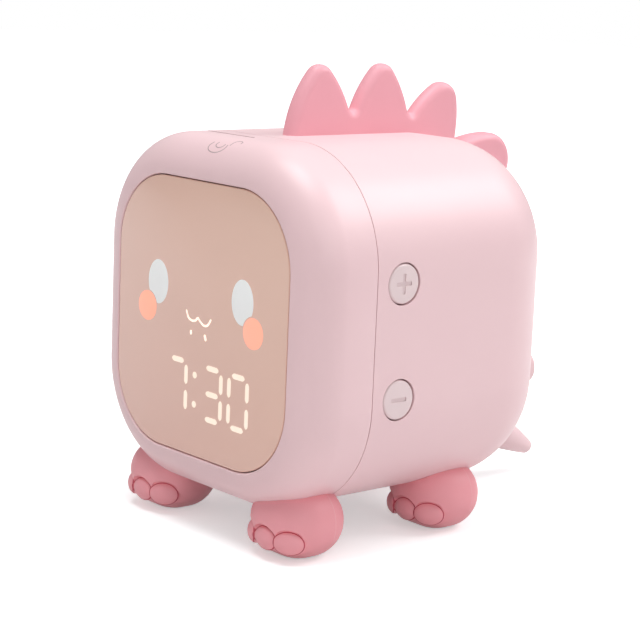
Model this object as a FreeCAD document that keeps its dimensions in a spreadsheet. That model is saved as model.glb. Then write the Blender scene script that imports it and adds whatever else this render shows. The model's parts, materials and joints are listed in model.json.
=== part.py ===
import FreeCAD, Part
import math
import os
import Sketcher
from FreeCAD import Placement, Rotation, Vector

# Kids alarm clock with night light: a rounded two-part case on four paws, with a window for the
# digits and the night light, a crest and a tail, and the electronics inside.
# Millimetres. X runs across the face, +Y to the rear, Z up from the surface it stands on.
# Every piece is drawn about the middle of the case and then moved by case_shift along Y, which
# puts the frame's origin under the middle of the whole object, tail included.

doc = FreeCAD.newDocument("NightLightClock")
sheet = doc.addObject("Spreadsheet::Sheet", "Sizes")

DRIVING_SIZES = [
    ("body_width", 100.0, "case, across the face"),
    ("body_height", 101.0, "case, bottom to top"),
    ("body_depth", 96.9, "case, front to rear"),
    ("body_lift", 11.9, "case bottom above the surface it stands on"),
    ("corner_radius", 32.7, "corner of the case seen from the front"),
    ("front_round", 11.5, "rounding of the front edge"),
    ("rear_round", 24.0, "rounding of the rear edge"),
    ("wall", 2.2, "wall of both shells"),
    ("front_wall", 4.0, "front wall that carries the window"),
    ("front_depth", 21.4, "front shell, front face to seam"),
    ("lip_length", 1.6, "tongue of the front shell inside the rear shell"),
    ("lip_wall", 1.0, "thickness of that tongue"),
    ("lip_step", 0.2, "that tongue beyond the wall's inner face"),
    ("lip_root", 1.0, "that tongue run on inside the front shell's wall"),
    ("lip_gap", 0.1, "clearance on each side of that tongue"),
    ("fit_gap", 0.15, "clearance of pieces that are put together"),
    ("seat_gap", 0.05, "clearance round screws, pegs and light windows"),
    ("cut_over", 1.0, "cutting shapes run on past the faces they cut"),
    ("lens_border_side", 11.3, "case's side to the window"),
    ("lens_border_end", 11.6, "case's top or bottom to the window, before it is moved down"),
    ("lens_thickness", 2.0, "window"),
    ("lens_edge", 0.4, "rounding of the window's front edge"),
    ("lens_gap", 0.3, "dark line round the window"),
    ("lens_drop", 0.4, "window centre below the case centre"),
    ("tape_thickness", 0.3, "adhesive frame behind the window"),
    ("tape_width", 2.2, "adhesive frame behind the window"),
    ("ledge_width", 2.6, "ledge that the window sits on"),
    ("diffuser_thickness", 1.2, "frosted sheet behind the window"),
    ("diffuser_overlap", 1.0, "sheet beyond the opening it covers"),
    ("display_x", -1.0, "middle of the digits across the face"),
    ("display_rise", 30.3, "middle of the digits above the case bottom"),
    ("digit_inner_x", 8.05, "minutes' and hours' unit digits from the middle"),
    ("digit_outer_x", 19.7, "minutes' and hours' tens digits from the middle"),
    ("digit_half_width", 4.0, "upright segments from the digit's middle"),
    ("digit_half_height", 7.3, "top and bottom segments from the digit's middle"),
    ("segment_length", 5.9, "segment, tip to tip"),
    ("segment_width", 1.6, "segment"),
    ("colon_spread", 4.2, "each dot of the colon from its middle"),
    ("colon_radius", 1.0, "dot of the colon"),
    ("housing_width", 52.0, "light-well housing"),
    ("housing_height", 19.6, "light-well housing"),
    ("housing_depth", 8.6, "light-well housing"),
    ("guide_depth", 5.5, "segment windows, length inside their wells"),
    ("board_thickness", 1.6, "all circuit boards"),
    ("front_board_inset", 6.0, "ends of the front boards from the case's sides"),
    ("front_board_height", 22.0, "display board and night-light board"),
    ("night_board_drop", 34.0, "middle of the night-light board below the case top"),
    ("front_post_inset", 3.0, "posts of the front boards from the boards' ends"),
    ("front_post_spread", 7.5, "posts of the front boards from the board's middle"),
    ("post_radius", 2.5, "screw posts of the boards"),
    ("board_screw_radius", 1.0, "shank of the board screws"),
    ("board_screw_length", 6.0, "board screws under the head"),
    ("board_screw_head", 1.9, "head radius of the board screws"),
    ("case_screw_inset_x", 16.5, "case screws from the case's sides"),
    ("case_screw_inset_z", 16.0, "case screws from the case's top and bottom"),
    ("case_screw_radius", 1.5, "shank of the case screws"),
    ("case_screw_length", 12.0, "case screws under the head"),
    ("case_screw_head", 2.8, "head radius of the case screws"),
    ("case_post_radius", 3.2, "front shell posts that take the case screws"),
    ("well_radius", 3.3, "screw wells of the rear shell"),
    ("well_wall", 1.2, "wall of the screw wells"),
    ("well_floor", 5.0, "seam to the floor that the screw heads press on"),
    ("led_width", 2.0, "LED packages"),
    ("led_height", 0.8, "LED packages"),
    ("night_led_pitch", 11.0, "LEDs of the night-light"),
    ("side_button_setback", 9.45, "side buttons behind the seam"),
    ("plus_raise", 15.35, "plus button above the case centre"),
    ("minus_drop", 16.5, "minus button below the case centre"),
    ("button_radius", 5.6, "side and rear buttons"),
    ("button_gap", 0.28, "gap round the buttons"),
    ("button_flange", 1.2, "width of the flange that keeps a button in"),
    ("flange_thickness", 1.0, "that flange"),
    ("button_edge", 0.5, "rounding of the buttons' outer edge"),
    ("button_travel", 0.5, "stroke of a button"),
    ("travel_room", 0.25, "room left past the stroke"),
    ("stem_radius", 2.2, "stem of a button"),
    ("rear_button_inset", 19.0, "rear buttons from the case's sides"),
    ("rear_button_rise", 32.9, "rear buttons above the case bottom"),
    ("rear_button_proud", 2.0, "rear buttons beyond the rear of the case"),
    ("switch_width", 6.0, "tact switch housing"),
    ("switch_height", 3.5, "tact switch housing"),
    ("plunger_radius", 1.7, "plunger of a tact switch"),
    ("plunger_stand", 1.0, "plunger above its housing"),
    ("plunger_depth", 1.5, "plunger inside its housing"),
    ("switch_room", 2.6, "outer face of a button's flange to the switch housing"),
    ("flange_drop", 0.6, "side button's flange inside the shell's wall"),
    ("sleeve_wall", 1.2, "sleeves in the rear shell that guide the buttons"),
    ("side_board_width", 15.0, "side board, front to rear"),
    ("side_board_height", 46.0, "side board, bottom to top"),
    ("side_post_spread", 6.0, "posts of the side board from its middle"),
    ("main_board_margin", 13.0, "ends of the main board from the case's sides"),
    ("main_board_height", 22.0, "main board"),
    ("main_board_inset", 12.4, "main board behind the rear of the case"),
    ("main_post_offset", 11.0, "posts of the main board inside the rear buttons"),
    ("main_post_spread", 7.5, "posts of the main board from its middle"),
    ("socket_width", 8.9, "charging socket"),
    ("socket_height", 3.2, "charging socket"),
    ("socket_wall", 0.3, "shell of the charging socket"),
    ("socket_tongue", 0.7, "tongue inside the charging socket"),
    ("socket_recess", 0.6, "mouth of the socket behind the rear of the case"),
    ("speaker_rise", 25.0, "speaker above the rear buttons"),
    ("speaker_radius", 14.0, "speaker"),
    ("speaker_rim", 1.6, "rim of the speaker's frame"),
    ("speaker_depth", 9.5, "speaker, rim to magnet"),
    ("magnet_radius", 7.0, "magnet"),
    ("magnet_height", 4.2, "magnet"),
    ("basket_wall", 1.0, "basket of the speaker"),
    ("cone_thickness", 0.3, "cone of the speaker"),
    ("gasket_thickness", 1.0, "foam ring of the speaker"),
    ("gasket_width", 2.4, "foam ring of the speaker"),
    ("speaker_ring_wall", 1.5, "ring wall round the speaker"),
    ("speaker_ring_height", 4.5, "ring wall round the speaker"),
    ("grille_hole_radius", 0.9, "holes in front of the speaker"),
    ("grille_pitch", 3.7, "rings of holes"),
    ("battery_width", 34.0, "battery pack"),
    ("battery_length", 48.0, "battery pack"),
    ("battery_height", 10.0, "battery pack"),
    ("battery_round", 3.0, "long edges of the battery pack"),
    ("pad_thickness", 1.0, "foam pad under the battery"),
    ("touch_width", 16.0, "touch pad under the head"),
    ("touch_length", 5.9, "touch pad under the head"),
    ("touch_thickness", 0.4, "touch pad under the head"),
    ("crest_thickness", 5.8, "crest"),
    ("crest_round", 2.6, "rounding of the crest's edges"),
    ("crest_rear_inset", 5.7, "rear foot of the crest from the rear of the case"),
    ("crest_length", 62.4, "crest, front foot to rear foot"),
    ("crest_bulge", 4.35, "rear lobe's flank beyond the rear foot"),
    ("crest_valley_radius", 1.4, "rounding between two lobes"),
    ("first_lobe_ahead", 50.7, "front lobe ahead of the crest's rear foot"),
    ("first_lobe_rise", 15.6, "its centre above the case top"),
    ("first_lobe_radius", 4.4, "its tip"),
    ("first_valley_ahead", 38.8, "valley behind the front lobe, ahead of the rear foot"),
    ("first_valley_rise", 3.9, "that valley above the case top"),
    ("second_lobe_ahead", 27.0, "middle lobe ahead of the crest's rear foot"),
    ("second_lobe_rise", 15.6, "its centre above the case top"),
    ("second_lobe_radius", 4.6, "its tip"),
    ("second_valley_ahead", 16.2, "valley behind the middle lobe, ahead of the rear foot"),
    ("second_valley_rise", 3.7, "that valley above the case top"),
    ("third_lobe_ahead", 2.5, "rear lobe ahead of the crest's rear foot"),
    ("third_lobe_rise", 8.7, "its centre above the case top"),
    ("third_lobe_radius", 5.9, "its tip"),
    ("flank_radius", 34.5, "curve of the lobes' flanks"),
    ("spike_thickness", 8.0, "fourth lobe, on the rear edge"),
    ("spike_round", 2.6, "rounding of its edges"),
    ("spike_angle", 21.6, "its rise above the horizontal, degrees"),
    ("spike_radius", 8.7, "its tip"),
    ("spike_reach", 14.6, "centre of its tip beyond the case's rounding"),
    ("spike_half_width", 10.8, "its foot, from its middle line"),
    ("spike_flank_radius", 48.0, "curve of its flanks"),
    ("spike_gap", 0.4, "gap between the crest and the fourth lobe"),
    ("root_depth", 4.0, "lobe, crest and tail drawn on inside the case, before it is cut away"),
    ("tail_root_inset", 2.45, "tail root inside the rear of the case"),
    ("tail_root_rise", 16.4, "tail root above the case bottom"),
    ("tail_drop", 26.2, "fall of the tail, degrees"),
    ("tail_length", 48.2, "tail, root to tip"),
    ("tail_root_radius", 8.6, "tail at its root"),
    ("tail_tip_radius", 2.6, "tail at its tip"),
    ("tail_flank_radius", 260.0, "curve of the tail's side"),
    ("trim_screw_radius", 1.3, "shank of the screws in crest, lobe and tail"),
    ("trim_screw_head", 2.4, "head radius of those screws"),
    ("trim_screw_length", 9.0, "those screws under the head"),
    ("screw_head_height", 1.6, "head of every screw"),
    ("trim_boss_radius", 3.6, "bosses inside that those screws press on"),
    ("trim_boss_height", 1.0, "those bosses"),
    ("paw_inset", 21.1, "paws from the case's sides"),
    ("front_paw_inset", 14.4, "front paws behind the front of the case"),
    ("rear_paw_inset", 30.2, "rear paws ahead of the rear of the case"),
    ("paw_width", 25.4, "paw, across"),
    ("paw_depth", 24.0, "paw, front to rear"),
    ("paw_height", 20.0, "paw, before the case is cut out of it"),
    ("paw_corner", 10.8, "corner radius of the paw seen from above"),
    ("paw_round", 9.8, "rounding of the paw's top and bottom edge"),
    ("toe_width", 9.4, "toe"),
    ("toe_height", 6.8, "toe"),
    ("toe_depth", 5.0, "toe, half of it inside the paw"),
    ("toe_spread", 8.3, "outer toes from the middle toe"),
    ("toe_rise", 6.2, "middle of the toes above the surface it stands on"),
    ("toe_groove", 0.6, "groove round each toe"),
    ("toe_sink", 1.8, "middle of a toe below the paw's surface"),
    ("groove_depth", 2.0, "groove round each toe"),
    ("paw_pilot_z", 9.0, "bottom of the screw hole in a paw"),
    ("foot_screw_radius", 1.5, "shank of the foot screws"),
    ("foot_screw_head", 2.8, "head radius of the foot screws"),
    ("foot_screw_length", 9.0, "foot screws under the head"),
    ("foot_boss_radius", 4.2, "bosses that the foot screws press on"),
    ("foot_boss_rise", 8.0, "top of those bosses above the case bottom"),
]

for row, (alias, value, meaning) in enumerate(DRIVING_SIZES, start=1):
    sheet.set(f"A{row}", meaning)
    sheet.set(f"B{row}", str(value))
    sheet.setAlias(f"B{row}", alias)
doc.recompute()


class Size:
    """A length from the sheet or worked out from it: its value now and the expression for it."""

    def __init__(self, value, text):
        self.value = float(value)
        self.text = text

    def __add__(self, other):
        other = as_size(other)
        return Size(self.value + other.value, f"({self.text} + {other.text})")

    def __sub__(self, other):
        other = as_size(other)
        return Size(self.value - other.value, f"({self.text} - {other.text})")

    def __mul__(self, other):
        other = as_size(other)
        return Size(self.value * other.value, f"({self.text} * {other.text})")

    def __truediv__(self, other):
        other = as_size(other)
        return Size(self.value / other.value, f"({self.text} / {other.text})")

    def __neg__(self):
        return Size(-self.value, f"(0 - {self.text})")

    def __radd__(self, other):
        return as_size(other) + self

    def __rsub__(self, other):
        return as_size(other) - self

    def __rmul__(self, other):
        return as_size(other) * self


def as_size(number):
    """A Size, from a Size or a plain number."""
    if isinstance(number, Size):
        return number
    return Size(number, f"({number})")


def cosine(angle):
    return Size(math.cos(math.radians(angle.value)), f"cos({angle.text} * 1 deg)")


def sine(angle):
    return Size(math.sin(math.radians(angle.value)), f"sin({angle.text} * 1 deg)")


def root(square):
    return Size(math.sqrt(square.value), f"sqrt({square.text})")


class Named:
    """The sheet's sizes as attributes."""


size = Named()
for alias, _, _ in DRIVING_SIZES:
    setattr(size, alias, Size(sheet.get(alias), f"Sizes.{alias}"))

# Places that several pieces share, worked out from the sheet
front_y = -size.body_depth / 2
rear_y = size.body_depth / 2
seam_y = front_y + size.front_depth
centre_z = size.body_lift + size.body_height / 2
top_z = size.body_lift + size.body_height
side_x = size.body_width / 2
lens_z = centre_z - size.lens_drop
lens_width = size.body_width - 2 * size.lens_border_side
lens_height = size.body_height - 2 * size.lens_border_end
lens_corner = size.corner_radius - size.lens_border_side
lens_back_y = front_y + size.lens_thickness
ledge_back_y = front_y + size.front_wall
window_width = lens_width - 2 * size.ledge_width
window_height = lens_height - 2 * size.ledge_width
window_corner = lens_corner - size.ledge_width
display_z = size.body_lift + size.display_rise
night_board_z = top_z - size.night_board_drop
housing_front_y = lens_back_y + size.fit_gap
front_board_y = housing_front_y + size.housing_depth
front_board_width = size.body_width - 2 * size.front_board_inset
front_post_x = front_board_width / 2 - size.front_post_inset
case_screw_x = side_x - size.case_screw_inset_x
case_screw_z = size.body_height / 2 - size.case_screw_inset_z
side_button_y = seam_y + size.side_button_setback
plus_z = centre_z + size.plus_raise
minus_z = centre_z - size.minus_drop
side_board_z = (plus_z + minus_z) / 2
side_flange_x = side_x - size.wall - size.flange_drop
side_switch_x = side_flange_x - size.switch_room
side_board_x = side_switch_x - size.switch_height
rear_button_x = side_x - size.rear_button_inset
rear_button_z = size.body_lift + size.rear_button_rise
main_board_width = size.body_width - 2 * size.main_board_margin
main_post_x = rear_button_x - size.main_post_offset
main_board_y = rear_y - size.main_board_inset
rear_switch_y = main_board_y + size.switch_height
speaker_z = rear_button_z + size.speaker_rise
inner_rear_y = rear_y - size.wall
speaker_rim_y = inner_rear_y - size.gasket_thickness
floor_inside_z = size.body_lift + size.wall
well_floor_y = seam_y + size.well_floor
rear_flange_y = rear_switch_y + size.switch_room
crest_rear_y = rear_y - size.crest_rear_inset
crest_front_y = crest_rear_y - size.crest_length
first_lobe_y = crest_rear_y - size.first_lobe_ahead
first_valley_y = crest_rear_y - size.first_valley_ahead
second_lobe_y = crest_rear_y - size.second_lobe_ahead
second_valley_y = crest_rear_y - size.second_valley_ahead
third_lobe_y = crest_rear_y - size.third_lobe_ahead
paw_x = side_x - size.paw_inset
front_paw_y = front_y + size.front_paw_inset
rear_paw_y = rear_y - size.rear_paw_inset
tail_root_y = rear_y - size.tail_root_inset
tail_root_z = size.body_lift + size.tail_root_rise
tail_reach = (
    tail_root_y
    + (size.tail_length - size.tail_tip_radius) * cosine(size.tail_drop)
    + size.tail_tip_radius
)
case_shift = (size.body_depth / 2 - tail_reach) / 2
ZERO = as_size(0)


def bind(item, name, length):
    """Sets a property now and ties it to the sheet."""
    item.setExpression(name, length.text)


def place(item, x=ZERO, y=ZERO, z=ZERO, turn=Rotation()):
    """Puts a piece at x, y, z of the case, turned first, and moves it with the case."""
    item.Placement = Placement(Vector(x.value, y.value + case_shift.value, z.value), turn)
    bind(item, "Placement.Base.x", x)
    bind(item, "Placement.Base.y", y + case_shift)
    bind(item, "Placement.Base.z", z)
    return item


def label(item, name):
    item.Label = name
    return item


def new_body(name):
    return label(doc.addObject("PartDesign::Body", name), name)


def new_sketch(body, plane_role, offset=ZERO):
    """A sketch on one of the body's own planes, moved along that plane's normal by offset."""
    sketch = body.newObject("Sketcher::SketchObject", f"{body.Name}_sketch")
    plane = next(item for item in body.Origin.OriginFeatures if item.Role == plane_role)
    sketch.AttachmentSupport = [(plane, "")]
    sketch.MapMode = "FlatFace"
    sketch.AttachmentOffset = Placement(Vector(0, 0, offset.value), Rotation())
    bind(sketch, "AttachmentOffset.Base.z", offset)
    return sketch


def hold(sketch, kind, *where, length):
    """Adds a constraint whose value comes from the sheet."""
    number = sketch.addConstraint(Sketcher.Constraint(kind, *where, length.value))
    bind(sketch, f"Constraints[{number}]", length)


def pin_point(sketch, geometry, end, x, y):
    """Holds a point of the sketch at x, y."""
    hold(sketch, "DistanceX", -1, 1, geometry, end, length=x)
    hold(sketch, "DistanceY", -1, 1, geometry, end, length=y)


def draw_polygon(sketch, corners):
    """A closed outline of straight lines through corners, each an (x, y) pair of sizes."""
    first = sketch.GeometryCount
    points = [Vector(x.value, y.value, 0) for x, y in corners]
    for here, there in zip(points, points[1:] + points[:1]):
        sketch.addGeometry(Part.LineSegment(here, there))
    for number, (x, y) in enumerate(corners):
        previous = first + (number - 1) % len(corners)
        sketch.addConstraint(Sketcher.Constraint("Coincident", previous, 2, first + number, 1))
        pin_point(sketch, first + number, 1, x, y)


def draw_rounded(sketch, x, y, width, height, radius):
    """A rectangle about x, y with round corners."""
    first = sketch.GeometryCount
    reach_x, reach_y = width / 2 - radius, height / 2 - radius
    corners = [(1, 1, 0), (-1, 1, 90), (-1, -1, 180), (1, -1, 270)]
    ends = []
    for sign_x, sign_y, start in corners:
        centre_x, centre_y = x + sign_x * reach_x, y + sign_y * reach_y
        circle = Part.Circle(
            Vector(centre_x.value, centre_y.value, 0), Vector(0, 0, 1), radius.value
        )
        arc = Part.ArcOfCircle(circle, math.radians(start), math.radians(start + 90))
        number = sketch.addGeometry(arc)
        pin_point(sketch, number, 3, centre_x, centre_y)
        hold(sketch, "Radius", number, length=radius)
        ends.append((arc.StartPoint, arc.EndPoint))
    for number in range(4):
        following = (number + 1) % 4
        line = sketch.addGeometry(Part.LineSegment(ends[number][1], ends[following][0]))
        sketch.addConstraint(Sketcher.Constraint("Tangent", first + number, 2, line, 1))
        sketch.addConstraint(Sketcher.Constraint("Tangent", line, 2, first + following, 1))


def pad(body, sketch, length, backwards=False, both_ways=False):
    feature = body.newObject("PartDesign::Pad", f"{body.Name}_pad")
    feature.Profile = sketch
    feature.Reversed = backwards
    feature.Midplane = both_ways
    feature.Length = length.value
    bind(feature, "Length", length)
    return feature


def revolve(body, sketch, axis):
    feature = body.newObject("PartDesign::Revolution", f"{body.Name}_revolution")
    feature.Profile = sketch
    feature.ReferenceAxis = (sketch, [axis])
    feature.Angle = 360
    return feature


def round_edges(body, feature, wanted, radius):
    """Rounds the edges of the feature that the test picks."""
    doc.recompute()
    names = [
        f"Edge{number}"
        for number, edge in enumerate(feature.Shape.Edges, start=1)
        if wanted(edge)
    ]
    fillet = body.newObject("PartDesign::Fillet", f"{body.Name}_fillet")
    fillet.Base = (feature, names)
    fillet.Radius = radius.value
    bind(fillet, "Radius", radius)
    return fillet


def lies_at(axis, length):
    """A test for edges that lie wholly in one plane across an axis."""

    def test(edge):
        box = edge.BoundBox
        low, high = getattr(box, f"{axis}Min"), getattr(box, f"{axis}Max")
        return abs(low - length.value) < 0.01 and abs(high - length.value) < 0.01

    return test


def cylinder(name, radius, length, x, y, z, turn=Rotation()):
    """A plain cylinder that starts at x, y, z and runs along +Z before it is turned."""
    item = label(doc.addObject("Part::Cylinder", name), name)
    bind(item, "Radius", radius)
    bind(item, "Height", length)
    return place(item, x, y, z, turn)


def box(name, low, high):
    """A block between two opposite corners."""
    item = label(doc.addObject("Part::Box", name), name)
    for side, start, end in zip(("Length", "Width", "Height"), low, high):
        bind(item, side, end - start)
    return place(item, *low)


def cut(name, base, tool):
    item = label(doc.addObject("Part::Cut", name), name)
    item.Base = base
    item.Tool = tool
    return item


def fuse(name, items):
    item = label(doc.addObject("Part::MultiFuse", name), name)
    item.Shapes = items
    return item


def group(name, items):
    """Separate solids that share one node."""
    item = label(doc.addObject("Part::Compound", name), name)
    item.Links = items
    return item


GRILLE_RINGS = 3
TO_REAR = Rotation(Vector(1, 0, 0), -90)
TO_FRONT = Rotation(Vector(1, 0, 0), 90)
TO_RIGHT = Rotation(Vector(0, 1, 0), 90)
TO_LEFT = Rotation(Vector(0, 1, 0), -90)
DOWN = Rotation(Vector(1, 0, 0), 180)
UP = Rotation()


# The case

def case_block(name, inset, start_y, end_y, front_round=None, rear_round=None):
    """The rounded case between two planes across Y, smaller all round by inset."""
    body = new_body(name)
    sketch = new_sketch(body, "XZ_Plane", -start_y)
    draw_rounded(
        sketch,
        ZERO,
        centre_z,
        size.body_width - 2 * inset,
        size.body_height - 2 * inset,
        size.corner_radius - inset,
    )
    feature = pad(body, sketch, end_y - start_y, backwards=True)
    if front_round:
        feature = round_edges(body, feature, lies_at("Y", start_y), front_round)
    if rear_round:
        feature = round_edges(body, feature, lies_at("Y", end_y), rear_round)
    return place(body)


def lip_ring(name, outer_inset, inner_inset, start_y, length):
    """A ring that follows the case's outline, from start_y to the rear."""
    body = new_body(name)
    sketch = new_sketch(body, "XZ_Plane", -start_y)
    for inset in (outer_inset, inner_inset):
        draw_rounded(
            sketch,
            ZERO,
            centre_z,
            size.body_width - 2 * inset,
            size.body_height - 2 * inset,
            size.corner_radius - inset,
        )
    pad(body, sketch, length, backwards=True)
    return place(body)


def window_block(name, width, height, corner, start_y, thickness):
    """A plate with the window's outline, from start_y to the rear."""
    body = new_body(name)
    sketch = new_sketch(body, "XZ_Plane", -start_y)
    draw_rounded(sketch, ZERO, lens_z, width, height, corner)
    pad(body, sketch, thickness, backwards=True)
    return place(body)


def four_corners(x, z, middle_z):
    """The four places at x either side and z above and below the middle."""
    return [(sx * x, middle_z + sz * z) for sx in (-1, 1) for sz in (-1, 1)]


case_screw_places = four_corners(case_screw_x, case_screw_z, centre_z)
front_board_post_places = four_corners(front_post_x, size.front_post_spread, display_z)
front_board_post_places += four_corners(front_post_x, size.front_post_spread, night_board_z)
main_board_post_places = four_corners(main_post_x, size.main_post_spread, rear_button_z)
side_board_post_places = [
    (side_button_y, side_board_z + sign * size.side_post_spread) for sign in (-1, 1)
]
paw_places = {
    "front_left_foot": (-paw_x, front_paw_y),
    "front_right_foot": (paw_x, front_paw_y),
    "rear_left_foot": (-paw_x, rear_paw_y),
    "rear_right_foot": (paw_x, rear_paw_y),
}
crest_screw_ys = (first_lobe_y, second_lobe_y)

envelope = case_block("case_envelope", ZERO, front_y, rear_y, size.front_round, size.rear_round)


def front_shell():
    outer = case_block("front_outer", ZERO, front_y, seam_y, front_round=size.front_round)
    cavity = case_block(
        "front_cavity",
        size.wall,
        ledge_back_y,
        seam_y,
        front_round=size.front_round - size.wall,
    )
    posts = [
        cylinder(f"case_post_{n}", size.case_post_radius, seam_y - ledge_back_y, x,
                 ledge_back_y, z, TO_REAR)
        for n, (x, z) in enumerate(case_screw_places)
    ]
    posts += [
        cylinder(f"front_board_post_{n}", size.post_radius, front_board_y - ledge_back_y, x,
                 ledge_back_y, z, TO_REAR)
        for n, (x, z) in enumerate(front_board_post_places)
    ]
    posts += [
        cylinder(f"front_foot_boss_{n}", size.foot_boss_radius, size.foot_boss_rise, x, y,
                 size.body_lift, UP)
        for n, (x, y) in enumerate(paw_places.values())
        if y.value < seam_y.value
    ]
    hollow = cut("front_hollow", cavity, fuse("front_posts", posts))
    holes = [
        window_block(
            "lens_recess",
            lens_width + 2 * size.lens_gap,
            lens_height + 2 * size.lens_gap,
            lens_corner + size.lens_gap,
            front_y - size.cut_over,
            size.lens_thickness + size.tape_thickness + size.cut_over,
        ),
        window_block(
            "window_opening", window_width, window_height, window_corner, front_y,
            size.front_wall + size.cut_over,
        ),
    ]
    holes += [
        cylinder(f"case_pilot_{n}", size.case_screw_radius + size.seat_gap,
                 size.front_depth - size.front_wall, x, ledge_back_y + size.cut_over, z, TO_REAR)
        for n, (x, z) in enumerate(case_screw_places)
    ]
    holes += [
        cylinder(f"front_board_pilot_{n}", size.board_screw_radius + size.seat_gap,
                 size.board_screw_length, x, front_board_y, z, TO_FRONT)
        for n, (x, z) in enumerate(front_board_post_places)
    ]
    holes += [
        cylinder(f"front_foot_hole_{n}", size.foot_screw_radius + size.seat_gap,
                 size.foot_boss_rise + 2 * size.cut_over, x, y,
                 size.body_lift - size.cut_over, UP)
        for n, (x, y) in enumerate(paw_places.values())
        if y.value < seam_y.value
    ]
    walls = cut("front_walls", outer, fuse("front_cuts", [hollow] + holes))
    lip = lip_ring(
        "front_lip", size.wall - size.lip_wall, size.wall + size.lip_step,
        seam_y - size.lip_root, size.lip_length + size.lip_root,
    )
    return fuse("front_shell", [walls, lip])


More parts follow.
